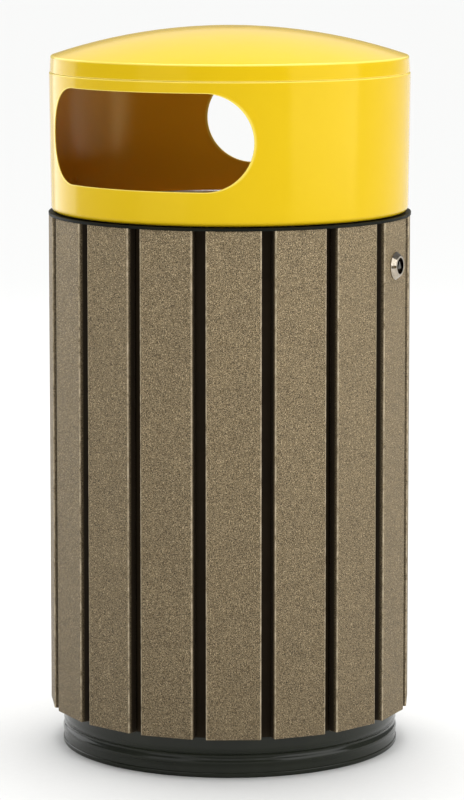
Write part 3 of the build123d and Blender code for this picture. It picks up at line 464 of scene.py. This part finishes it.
def drilled_face(low, high, reach, way, bearing):
    """Flat face round the lock's hole. Each piece of the hole's circle is joined to the corner of
    the face in its own quarter, and the piece that starts a new quarter spans that side."""
    angle = np.radians(np.linspace(0, 360, BORE_COUNT + 1))
    quarter = np.arange(BORE_COUNT + 1) * 4 // BORE_COUNT % 4
    across = (BOARD_WIDTH / 2 - BOARD_EDGE) * np.array([1, -1, -1, 1])[quarter]
    corner_height = np.array([high, high, low, low])[quarter]
    radius = BORE_RADIUS + BORE_EASE
    across = np.stack([radius * np.cos(angle), across])
    rise = np.stack([LOCK_HEIGHT + radius * np.sin(angle), corner_height])
    still = np.zeros(rise.shape)
    return stood(np.stack([across, still + reach], axis=-1), rise,
                 np.stack([still, still + way], axis=-1), still, still, bearing)


def bore(bearing):
    """Hole through the drilled board: a cylinder whose two mouths are eased by quarter circles."""
    back = BOARD_FACE - BOARD_THICKNESS
    bend = np.radians(np.linspace(0, 90, BORE_ROWS))
    inward = np.concatenate([np.sin(bend), np.cos(bend)])[:, None]
    outward = np.concatenate([np.cos(bend), -np.sin(bend)])[:, None]
    middle = np.repeat([BOARD_FACE - BORE_EASE, back + BORE_EASE], len(bend))[:, None]
    angle = np.radians(np.linspace(0, 360, BORE_COUNT + 1))[None]
    radius = BORE_RADIUS + BORE_EASE * (1 - inward)
    level = np.ones_like(angle)
    flat = np.stack([radius * np.cos(angle), (middle + BORE_EASE * outward) * level], axis=-1)
    flat_out = np.stack([-inward * np.cos(angle), outward * level], axis=-1)
    return stood(flat, LOCK_HEIGHT + radius * np.sin(angle), flat_out,
                 -inward * np.sin(angle), np.zeros(flat.shape[:2]), bearing)


def board(bearing, drilled):
    """Board at a bearing: a rounded rectangle (round, out) carried up, drawn in by a quarter
    circle at each end, and closed by flat ends that shrink to the board's middle. Both flat faces
    of a drilled board are open along the straight stretch, and the faces round its hole fill them."""
    half = BOARD_WIDTH / 2
    back = BOARD_FACE - BOARD_THICKNESS
    loop = rounded([
        (half, back, BOARD_EDGE), (half, BOARD_FACE, BOARD_EDGE),
        (-half, BOARD_FACE, BOARD_EDGE), (-half, back, BOARD_EDGE)])
    arc = len(loop) // 4
    loop = np.concatenate([loop, loop[:1]])
    bend = np.radians(np.linspace(0, 90, END_ROWS))
    inset = BOARD_END * (1 - np.cos(bend))
    inset = np.concatenate([inset[::-1], inset])
    rise = BOARD_END * (1 - np.sin(bend))
    height = np.concatenate([BOARD_FOOT + rise[::-1], BOARD_TOP - rise])
    tilt = np.concatenate([-np.sin(bend)[::-1], np.sin(bend)])
    flat = loop[None, :, :2] - inset[:, None, None] * loop[None, :, 2:4]
    shape = flat.shape[:2]
    side = stood(
        flat, np.broadcast_to(height[:, None], shape),
        loop[None, :, 2:4] * np.sqrt(1 - tilt**2)[:, None, None],
        np.broadcast_to(tilt[:, None], shape), np.broadcast_to(loop[None, :, 4], shape), bearing)
    middle = np.array([0, (BOARD_FACE + back) / 2])
    lids = []
    for row, up in ((0, -1.0), (-1, 1.0)):
        lid = middle + (flat[row] - middle) * np.linspace(1, 0, LID_ROWS)[:, None, None]
        still = np.zeros(lid.shape[:2])
        lids.append(stood(lid, still + height[row], lid * 0, still + up, still, bearing))
    if not drilled:
        return [side, *lids]
    ends = len(bend)
    low, high = height[ends - 1], height[ends]
    front, rear = slice(2 * arc - 1, 2 * arc + 1), slice(4 * arc - 1, 4 * arc + 1)
    return [
        side[:, :2 * arc], side[:, 2 * arc:4 * arc], side[:ends, front], side[ends:, front],
        side[:ends, rear], side[ends:, rear], *lids, bore(bearing),
        drilled_face(low, high, BOARD_FACE, 1.0, bearing),
        drilled_face(low, high, back, -1.0, bearing)]


def marked(piece, name, rule):
    """Adds a point attribute to a piece, worked out from its points and outward directions."""
    mesh = piece.data
    spot, out = np.empty(3 * len(mesh.vertices)), np.empty(3 * len(mesh.vertices))
    mesh.vertices.foreach_get("co", spot)
    mesh.vertices.foreach_get("normal", out)
    mesh.attributes.new(name, "FLOAT", "POINT").data.foreach_set(
        "value", rule(spot.reshape(-1, 3), out.reshape(-1, 3)).astype(float))
    return piece


for number in range(1, BOARD_COUNT + 1):
    bearing = LOCK_BEARING + (number - 1) * 360 / BOARD_COUNT
    _, across = direction(bearing)
    piece = skin(f"board_{number:02d}", *board(bearing, number == 1))
    marked(piece, "flank", lambda spot, out: np.clip(
        (np.abs(out @ across) - FLANK_START) / FLANK_SPAN, 0, 1))
    dressed(piece, board_grit, "slat_board", "body", f"slat_{number:02d}")

# ---------------------------------------------------------------- fasteners and lock

# Zinc-plated screws, nut, cam, washer and catch. The plating is a dull bluish grey, cloudy and a
# little streaked, and the rivets are brighter. The lock's barrel and rotor are chromed brass, with
# painted shade in the recess.
ZINC_BRIGHT, ZINC_DULL = (0.62, 0.64, 0.66, 1), (0.40, 0.41, 0.42, 1)
RIVET_BRIGHT, RIVET_DULL = (0.68, 0.67, 0.65, 1), (0.50, 0.49, 0.47, 1)
CHROME_BRIGHT, CHROME_DULL = (0.50, 0.44, 0.36, 1), (0.30, 0.26, 0.20, 1)
RECESS_SHADE = (0.035, 0.030, 0.022, 1)
RECESS_INNER, RECESS_OUTER, RECESS_SHADE_AMOUNT = 8.9, 9.7, 0.92


def plated(name, bright, dull, roughness, grain_mm, scratch_mm):
    """Plated metal: two greys in clouds, with the roughness and a faint bump that follow them."""
    finish, tree, shader, place = new_finish(name, Metallic=1.0)
    bloom = effect(tree, cloud, place, Grain_mm=grain_mm, Spread=0.25)
    tree.links.new(mixed(tree, bloom, bright, dull), shader.inputs["Base Color"])
    tree.links.new(ranged(tree, bloom, *roughness), shader.inputs["Roughness"])
    scratches = effect(tree, cloud, place, Grain_mm=scratch_mm, Spread=0.3)
    bumped(tree, shader, scratches, depth_mm=0.01)
    return finish


zinc_steel = plated(
    "zinc_steel", ZINC_BRIGHT, ZINC_DULL, roughness=(0.28, 0.48), grain_mm=4.0, scratch_mm=0.8)
rivet_steel = plated(
    "rivet_steel", RIVET_BRIGHT, RIVET_DULL, roughness=(0.22, 0.38), grain_mm=3.0, scratch_mm=0.6)
lock_chrome = plated(
    "lock_chrome", CHROME_BRIGHT, CHROME_DULL, roughness=(0.05, 0.15), grain_mm=3.0, scratch_mm=0.5)
refinished(zinc_steel, "slat_screws", "lock_nut", "lock_cam", "cam_washer", "cam_screw", "hood_catch")
refinished(rivet_steel, "cap_rivets", "catch_rivets", "bracket_rivets", "handle_rivets", "hinge_pin")

# The painted shade lies where the distance from the lock's axis is less than the recess's radius.
# That distance is the length of the cross product of the place and the axis's direction.
tree = lock_chrome.node_tree
out, _ = direction(LOCK_BEARING)
from_lock = add(tree, "ShaderNodeVectorMath", {
    0: add(tree, "ShaderNodeTexCoord").outputs["Object"], 1: (0, 0, LOCK_HEIGHT / 1000),
}, operation="SUBTRACT").outputs[0]
beside = add(tree, "ShaderNodeVectorMath", {0: from_lock, 1: tuple(out)}, operation="CROSS_PRODUCT")
from_axis = add(tree, "ShaderNodeVectorMath", {0: beside.outputs[0]}, operation="LENGTH")
painted_recess_shade = add(tree, "ShaderNodeMapRange", {
    "Value": from_axis.outputs["Value"], "From Min": RECESS_INNER / 1000,
    "From Max": RECESS_OUTER / 1000, "To Min": RECESS_SHADE_AMOUNT, "To Max": 0.0}).outputs["Result"]
base = tree.nodes["Principled BSDF"].inputs["Base Color"]
tree.links.new(mixed(tree, painted_recess_shade, base.links[0].from_socket, RECESS_SHADE), base)
refinished(lock_chrome, "lock_body", "lock_rotor")

# ---------------------------------------------------------------- hood wall

# The hood's wall is rolled from 1.5 mm sheet, with flanges turned in at foot and top. Its two
# mouths are cut with round ends and their edges eased. It is powder coated gloss yellow, with
# painted amber shade inside and a painted pale highlight along its edges.
HOOD_FOOT, HOOD_TOP, HOOD_WALL = 622.0, 782.0, 1.5
HOOD_RADIUS, HOOD_TOP_RADIUS = 206.2, 208.0
FOOT_BEND, TOP_BEND = 6.2, 1.8
FOOT_FLANGE_INNER, TOP_FLANGE_INNER, FLANGE_EASE = 192.5, 196.0, 0.4
MOUTH_CENTRE, MOUTH_END_RADIUS, MOUTH_END_TURN = 714.7, 54.35, 25.4
LIP_ROUND = 0.7
YELLOW = (0.755, 0.500, 0.006, 1)
YELLOW_FADED = (0.770, 0.515, 0.008, 1)
# Painted shade: the amber colour inside the hood.
AMBER_SHADE_INSIDE = (0.810, 0.395, 0.018, 1)
# Painted highlight: the pale colour along the hood's and cap's edges.
YELLOW_EDGE_HIGHLIGHT = (0.95, 0.76, 0.14, 1)
YELLOW_GLEAM = (1.0, 0.86, 0.35, 1)

yellow_paint = sprayed_paint(
    "yellow_paint", YELLOW, YELLOW_FADED, roughness=(0.10, 0.17), dirt=0.03, peel_mm=2.6,
    inner=AMBER_SHADE_INSIDE, shine=0.3, edge_highlight=YELLOW_EDGE_HIGHLIGHT, gleam=YELLOW_GLEAM)


def faces_hollow(spot, out):
    """1 where a point of the hood faces the middle of the hood's hollow, 0 elsewhere."""
    return ((spot - [0, 0, MOUTH_CENTRE / 1000]) * out).sum(axis=1) < 0


lean = np.arctan2(HOOD_TOP_RADIUS - HOOD_RADIUS, HOOD_TOP - HOOD_FOOT - FOOT_BEND - TOP_BEND)
bend_end_reach = HOOD_RADIUS - FOOT_BEND + FOOT_BEND * np.cos(lean)
bend_end_height = HOOD_FOOT + FOOT_BEND * (1 - np.sin(lean))


def wall_reach(height, depth=0.0):
    """How far out the leaning wall stands at a height, at a depth below its outer face: on a
    straight line from the end of the foot's bend."""
    return bend_end_reach + (height - bend_end_height) * np.tan(lean) - depth / np.cos(lean)


BEND_STEPS = 8
hood_outline = rounded([
    (FOOT_FLANGE_INNER, HOOD_FOOT, FLANGE_EASE),
    (wall_reach(HOOD_FOOT), HOOD_FOOT, FOOT_BEND),
    (wall_reach(HOOD_TOP), HOOD_TOP, TOP_BEND),
    (TOP_FLANGE_INNER, HOOD_TOP, FLANGE_EASE),
    (TOP_FLANGE_INNER, HOOD_TOP - HOOD_WALL, FLANGE_EASE),
    (wall_reach(HOOD_TOP - HOOD_WALL, HOOD_WALL), HOOD_TOP - HOOD_WALL, TOP_BEND - HOOD_WALL),
    (wall_reach(HOOD_FOOT + HOOD_WALL, HOOD_WALL), HOOD_FOOT + HOOD_WALL, FOOT_BEND - HOOD_WALL),
    (FOOT_FLANGE_INNER, HOOD_FOOT + HOOD_WALL, FLANGE_EASE),
], BEND_STEPS)
corner_length = BEND_STEPS + 1
foot_strip = np.concatenate([hood_outline[6 * corner_length:], hood_outline[:2 * corner_length]])
top_strip = hood_outline[2 * corner_length:6 * corner_length]
LONG_SIDE, SHORT_SIDE, HOOD_COLUMNS = 120, 24, 240
WALL_ROWS, ROW_CROWDING, LIP_ROWS = 27, 1.25, 6


def mouth_loop():
    """Bearing of the centre and angle about it, once round a mouth: the angle turns at the round
    ends while the centre stands, and the centre moves along the straight sides. Corners of the
    wall's own rectangle fall at 45 degrees on the round ends."""
    end = MOUTH_END_RADIUS * np.pi / 4
    straight = 2 * np.radians(MOUTH_END_TURN) * wall_reach(MOUTH_CENTRE)
    along = np.array([0, end, end + straight, 2 * end + straight])
    part = np.linspace(0, along[-1], LONG_SIDE + 1)[:-1]
    turn = MOUTH_END_TURN
    low_centre = np.interp(part, along, [-turn, -turn, turn, turn])
    low_angle = np.interp(part, along, [-135, -90, -90, -45])
    side_angle = np.linspace(-45, 45, SHORT_SIDE + 1)[:-1]
    centre = np.concatenate([
        low_centre, np.full(SHORT_SIDE, turn), -low_centre, np.full(SHORT_SIDE, -turn)])
    angle = np.concatenate([low_angle, side_angle, low_angle + 180, side_angle + 180])
    return np.append(centre, centre[0]), np.radians(np.append(angle, angle[0] + 360))


def wall_rectangle(low, high):
    """Bearing and height once round half the wall, in step with mouth_loop."""
    bottom = np.linspace(-90, 90, LONG_SIDE + 1)[:-1]
    rise = np.linspace(low, high, SHORT_SIDE + 1)[:-1]
    bearing = np.concatenate([bottom, np.full(SHORT_SIDE, 90.0), -bottom, np.full(SHORT_SIDE, -90.0)])
    height = np.concatenate([
        np.full(LONG_SIDE, low), rise, np.full(LONG_SIDE, high), rise[::-1] + (rise[1] - rise[0])])
    return np.append(bearing, bearing[0]), np.append(height, height[0])


def mouth_edge(middle, grown, depth):
    """Bearing, height and cut direction round the mouth grown by a distance, at a depth in the
    wall. The round ends are circles about a level axis, so the bearing of a point is that of the
    axis plus the angle whose sine is its distance across, divided by its reach."""
    centre, angle = mouth_loop()
    radius = MOUTH_END_RADIUS + grown
    height = MOUTH_CENTRE + radius * np.sin(angle)
    across = radius * np.cos(angle)
    bearing = middle + centre + np.degrees(np.arcsin(across / wall_reach(height, depth)))
    round_turn = np.radians(middle + centre)
    cut = -np.stack([
        np.cos(angle) * np.cos(round_turn), np.cos(angle) * np.sin(round_turn), np.sin(angle)], axis=-1)
    return bearing, height, cut


def on_wall(bearing, height, depth, cut=None, lift=1.0, edge=0.0):
    """Points of the leaning wall at a depth. Their direction is the wall's own times lift, plus
    the mouth's cut times the root of 1 less lift squared, so that a lift of -1 faces inwards."""
    turn = np.radians(bearing)
    reach = wall_reach(height, depth)
    spot = np.stack([reach * np.sin(turn), -reach * np.cos(turn), height], axis=-1)
    own = np.stack([
        np.sin(turn) * np.cos(lean), -np.cos(turn) * np.cos(lean),
        np.full_like(turn, -np.sin(lean))], axis=-1)
    out = own * lift if cut is None else own * lift + cut * np.sqrt(1 - lift**2)
    return np.concatenate([spot, out, np.full(spot.shape[:-1] + (1,), edge)], axis=-1)


def wall_half(middle):
    """Grids of one half of the wall: outer face, inner face, and the mouth's lip, which turns
    through two quarter circles. Each face is a straight blend, in bearing and height, from the
    mouth's edge to the half's rectangle, with its rows crowded towards the mouth by a power."""
    grids = []
    blend = (np.linspace(0, 1, WALL_ROWS)**ROW_CROWDING)[:, None]
    for depth, rows, lift in (
        (0.0, (foot_strip[-1, 1], top_strip[0, 1]), 1.0),
        (HOOD_WALL, (foot_strip[0, 1], top_strip[-1, 1]), -1.0),
    ):
        bearing, height, _ = mouth_edge(middle, LIP_ROUND, depth)
        far_bearing, far_height = wall_rectangle(*rows)
        grids.append(on_wall(
            bearing + (middle + far_bearing - bearing) * blend,
            height + (far_height - height) * blend, depth, lift=lift, edge=(blend == 0)[..., None]))
    lip = []
    bends = np.radians(np.linspace(0, 90, LIP_ROWS))
    for bend in bends:
        sunk = LIP_ROUND * (1 - np.cos(bend))
        bearing, height, cut = mouth_edge(middle, LIP_ROUND * (1 - np.sin(bend)), sunk)
        lip.append(on_wall(bearing, height, sunk, cut, np.cos(bend), 1.0))
    for bend in bends:
        sunk = HOOD_WALL - LIP_ROUND * (1 - np.sin(bend))
        bearing, height, cut = mouth_edge(middle, LIP_ROUND * (1 - np.cos(bend)), sunk)
        lip.append(on_wall(bearing, height, sunk, cut, -np.sin(bend), np.sin(2 * bend)))
    return [*grids, np.stack(lip)]


hood_wall = skin(
    "hood_wall", turned(foot_strip, HOOD_COLUMNS, closed=False),
    turned(top_strip, HOOD_COLUMNS, closed=False), *wall_half(0), *wall_half(180))
marked(hood_wall, "inside", faces_hollow)
dressed(hood_wall, yellow_paint, "yellow_paint", "hood", "hood_shell")

# ---------------------------------------------------------------- hood cap

# The cap is spun from one disc: a shallow dome, a tight shoulder and an upright rim whose foot
# turns in on the wall's flange. Eight rivets hold it down. It has the wall's yellow coat.
CAP_APEX, CAP_SPHERE, CAP_RIM_RADIUS = 834.5, 644.0, 207.4
CAP_SHOULDER, CAP_HEEL, CAP_LEAN = 3.0, 1.2, np.radians(3.0)
RIM_DRAFT = 1.0
SHOULDER_REACH = CAP_RIM_RADIUS - RIM_DRAFT
CAP_STEPS = 12

dome_turn = np.arcsin((SHOULDER_REACH - CAP_SHOULDER) / (CAP_SPHERE - CAP_SHOULDER))


def cap_face(depth):
    """Corners (reach, height, radius) of the cap's skin at a depth below its outer face, from the
    axis to the flange's inner edge. The dome is an arc that touches level at the axis."""
    sphere = CAP_SPHERE - depth
    apex = CAP_APEX - depth
    dome_corner = sphere * np.tan(dome_turn / 2)
    centre_reach = SHOULDER_REACH - CAP_SHOULDER
    centre_height = CAP_APEX - CAP_SPHERE + (CAP_SPHERE - CAP_SHOULDER) * np.cos(dome_turn)
    shoulder = CAP_SHOULDER - depth
    slope_end = np.array([
        centre_reach + shoulder * np.sin(dome_turn), centre_height + shoulder * np.cos(dome_turn)])
    rim_start = np.array([
        centre_reach + shoulder * np.cos(CAP_LEAN), centre_height + shoulder * np.sin(CAP_LEAN)])
    along = np.array([np.cos(dome_turn), -np.sin(dome_turn)])
    down = np.array([np.sin(CAP_LEAN), -np.cos(CAP_LEAN)])
    reach_on = np.linalg.solve(np.stack([along, -down], axis=1), rim_start - slope_end)[0]
    shoulder_corner = slope_end + along * reach_on
    foot = HOOD_TOP + depth
    rim_foot = shoulder_corner + down * (shoulder_corner[1] - foot) / -down[1]
    return [
        (dome_corner, apex, sphere), (*shoulder_corner, shoulder), (rim_foot[0], foot, CAP_HEEL - depth)]


inner_face = cap_face(HOOD_WALL)
cap_corners = [
    (0, CAP_APEX - HOOD_WALL, 0), *inner_face[:2],
    (inner_face[2][0], HOOD_TOP + HOOD_WALL, CUT_EASE),
    (TOP_FLANGE_INNER, HOOD_TOP + HOOD_WALL, FLANGE_EASE), (TOP_FLANGE_INNER, HOOD_TOP, FLANGE_EASE),
    *cap_face(0.0)[::-1], (0, CAP_APEX, 0)]
cap = skin("spun_cap", turned(rounded(cap_corners, CAP_STEPS), HOOD_COLUMNS))
marked(cap, "inside", faces_hollow)
dressed(cap, yellow_paint, "yellow_paint", "hood", "hood_cap")

# ---------------------------------------------------------------- hinge and bumpers

# The hinge's fixed bracket is riveted to the ring and painted like the base. Its moving leaf has
# the hood's yellow coat, and the leaf's rivets have the amber painted shade of the hood's inside.
# Four black rubber bumpers are pressed into the hood's foot, which rests on the ring through them.
RUBBER_DARK, RUBBER_WORN = (0.012, 0.012, 0.012, 1), (0.028, 0.027, 0.026, 1)

refinished(black_paint, "hinge_bracket")
refinished(yellow_paint, "hinge_leaf")
# Painted shade on the leaf's rivets inside the hood, in the amber of the hood's inside.
amber_shade_paint = sprayed_paint(
    "amber_shade_paint", AMBER_SHADE_INSIDE, AMBER_SHADE_INSIDE,
    roughness=(0.2, 0.3), dirt=0.03, peel_mm=2.6, shine=0.3)
refinished(amber_shade_paint, "hinge_rivets")
bumper_rubber, tree, shader, place = new_finish("bumper_rubber")
grain = effect(tree, cloud, place, Grain_mm=2.0, Spread=0.3)
tree.links.new(mixed(tree, grain, RUBBER_DARK, RUBBER_WORN), shader.inputs["Base Color"])
tree.links.new(ranged(tree, grain, low=0.7, high=0.85), shader.inputs["Roughness"])
bumped(tree, shader, grain, depth_mm=0.03)
refinished(bumper_rubber, "hood_bumpers")

# ---------------------------------------------------------------- liner

# A bucket of galvanised sheet with a wire-rolled rim, which hangs on the ring. The zinc has
# grown in flat crystals of different greys. Its floor, plates and drop handles are the same.
LINER_RADIUS, LINER_WALL, LINER_FOOT, LINER_EASE = 174.0, 1.2, 20.0, 0.4
RIM_WIRE, RIM_GAP, RIM_BITE, RIM_STEPS = 3.75, 0.3, 0.15, 24
RIM_CENTRE = RING_TOP + RIM_GAP + RIM_WIRE
RIM_REACH = LINER_RADIUS + RIM_WIRE - RIM_BITE
CRYSTAL_DARK, CRYSTAL_LIGHT = (0.42, 0.44, 0.45, 1), (0.68, 0.70, 0.71, 1)

galvanised, tree, shader, place = new_finish("galvanised", Metallic=1.0)
crystal = add(tree, "ShaderNodeTexVoronoi", {"Vector": place, "Scale": 90.0, "Randomness": 1.0})
crystal_tone = add(tree, "ShaderNodeSeparateColor", {"Color": crystal.outputs["Color"]}).outputs["Red"]
tree.links.new(mixed(tree, crystal_tone, CRYSTAL_DARK, CRYSTAL_LIGHT), shader.inputs["Base Color"])
tree.links.new(ranged(tree, crystal_tone, low=0.32, high=0.52), shader.inputs["Roughness"])
bumped(tree, shader, crystal_tone, depth_mm=0.02)

liner_wall = rounded([
    (LINER_RADIUS - LINER_WALL, LINER_FOOT, LINER_EASE), (LINER_RADIUS, LINER_FOOT, LINER_EASE),
    (LINER_RADIUS, RIM_CENTRE, LINER_EASE), (LINER_RADIUS - LINER_WALL, RIM_CENTRE, LINER_EASE)])
circle = np.radians(np.linspace(0, 360, RIM_STEPS + 1)[:-1])
rim_roll = np.stack([
    RIM_REACH + RIM_WIRE * np.cos(circle), RIM_CENTRE + RIM_WIRE * np.sin(circle),
    np.cos(circle), np.sin(circle), 0 * circle], axis=1)
bucket = skin("bucket", turned(liner_wall), turned(rim_roll))
dressed(bucket, galvanised, "galvanised", "liner", "liner_shell")
refinished(galvanised, "liner_floor", "handle_plate_front", "handle_plate_rear",
           "liner_handle_front", "liner_handle_rear")

# ---------------------------------------------------------------- studio

# A pale paper floor under a broad soft sun. Soft boxes to the right, beside the camera and to the
# left leave the hood its upright bands and the boards their light edges. One above the front and
# a weak one behind fill in the top and the back.
FLOOR_SIZE = 80
PAPER_DARK, PAPER_LIGHT = (0.68, 0.68, 0.67, 1), (0.70, 0.70, 0.69, 1)
AIM = (0, 0, 0.5)
AIR_TINT, AIR_GLOW, AIR_SEEN = (0.95, 0.97, 1.0, 1), 0.26, 0.93

bpy.ops.mesh.primitive_plane_add(size=FLOOR_SIZE, location=(0, 0, 0))
floor = bpy.context.object
floor.name = "studio_floor"
floor_finish, tree, shader, place = new_finish("floor_paper")
paper = effect(tree, cloud, place, Grain_mm=8.0, Spread=0.3)
tree.links.new(mixed(tree, paper, PAPER_DARK, PAPER_LIGHT), shader.inputs["Base Color"])
tree.links.new(ranged(tree, paper, low=0.8, high=0.9), shader.inputs["Roughness"])
floor.data.materials.append(floor_finish)


def lamp(name, kind, place, power):
    """Light at a place in metres, turned to the AIM, a point on the bin's axis."""
    data = bpy.data.lights.new(name, kind)
    data.energy = power
    light = bpy.data.objects.new(name, data)
    light.location = place
    light.visible_camera = False
    light.rotation_euler = (Vector(AIM) - Vector(place)).to_track_quat("-Z", "Y").to_euler()
    bpy.context.scene.collection.objects.link(light)
    return data


def soft_box(name, bearing, reach, height, size, glow):
    """Area light at a bearing, with its reach, height and size in metres. Its power is the glow
    times pi times its area."""
    out, _ = direction(bearing)
    data = lamp(name, "AREA", tuple(out * reach + [0, 0, height]), glow * np.pi * size[0] * size[1])
    data.shape = "RECTANGLE"
    data.size, data.size_y = size


sun = lamp("soft_sun", "SUN", place=(-0.4, 0.8, 4.0), power=3.7)
sun.angle = np.radians(60)
soft_box("right_box", bearing=95.0, reach=3.0, height=1.5, size=(3.0, 2.6), glow=2.05)
soft_box("camera_box", bearing=-9.0, reach=3.4, height=1.4, size=(2.1, 2.5), glow=0.95)
soft_box("left_strip", bearing=-98.0, reach=3.0, height=1.4, size=(2.2, 2.6), glow=1.5)
soft_box("front_top_box", bearing=33.0, reach=1.9, height=3.0, size=(3.4, 1.3), glow=1.05)
soft_box("rear_box", bearing=213.0, reach=3.2, height=2.4, size=(3.6, 2.0), glow=0.42)

# The air is dim where it lights the bin, and pale where it is looked at above the floor's edge.
world = bpy.data.worlds.new("studio_air")
world.use_nodes = True
air = world.node_tree.nodes["Background"]
air.inputs["Color"].default_value = AIR_TINT
looked_at = add(world.node_tree, "ShaderNodeLightPath").outputs["Is Camera Ray"]
strength = ranged(world.node_tree, looked_at, AIR_GLOW, AIR_SEEN)
world.node_tree.links.new(strength, air.inputs["Strength"])
bpy.context.scene.world = world
bpy.context.scene.view_settings.view_transform = "Standard"

# ---------------------------------------------------------------- camera

# A long lens to the right of the front mouth, a little above the hood and looking slightly down.
# Its shift keeps the bin in the middle of the frame.
CAMERA_AZIMUTH, CAMERA_DISTANCE, CAMERA_HEIGHT, CAMERA_DOWN = 33.2, 4.087, 1.020, 6.70
azimuth = np.radians(CAMERA_AZIMUTH)
lens = bpy.data.cameras.new("camera")
lens.sensor_width = 36
lens.lens = 159.8
lens.shift_x = 0.00275
lens.shift_y = -0.15
camera = bpy.data.objects.new("camera", lens)
camera.location = (
    CAMERA_DISTANCE * np.sin(azimuth), -CAMERA_DISTANCE * np.cos(azimuth), CAMERA_HEIGHT)
camera.rotation_euler = (np.radians(90 - CAMERA_DOWN), 0, azimuth)
bpy.context.scene.collection.objects.link(camera)
bpy.context.scene.camera = camera
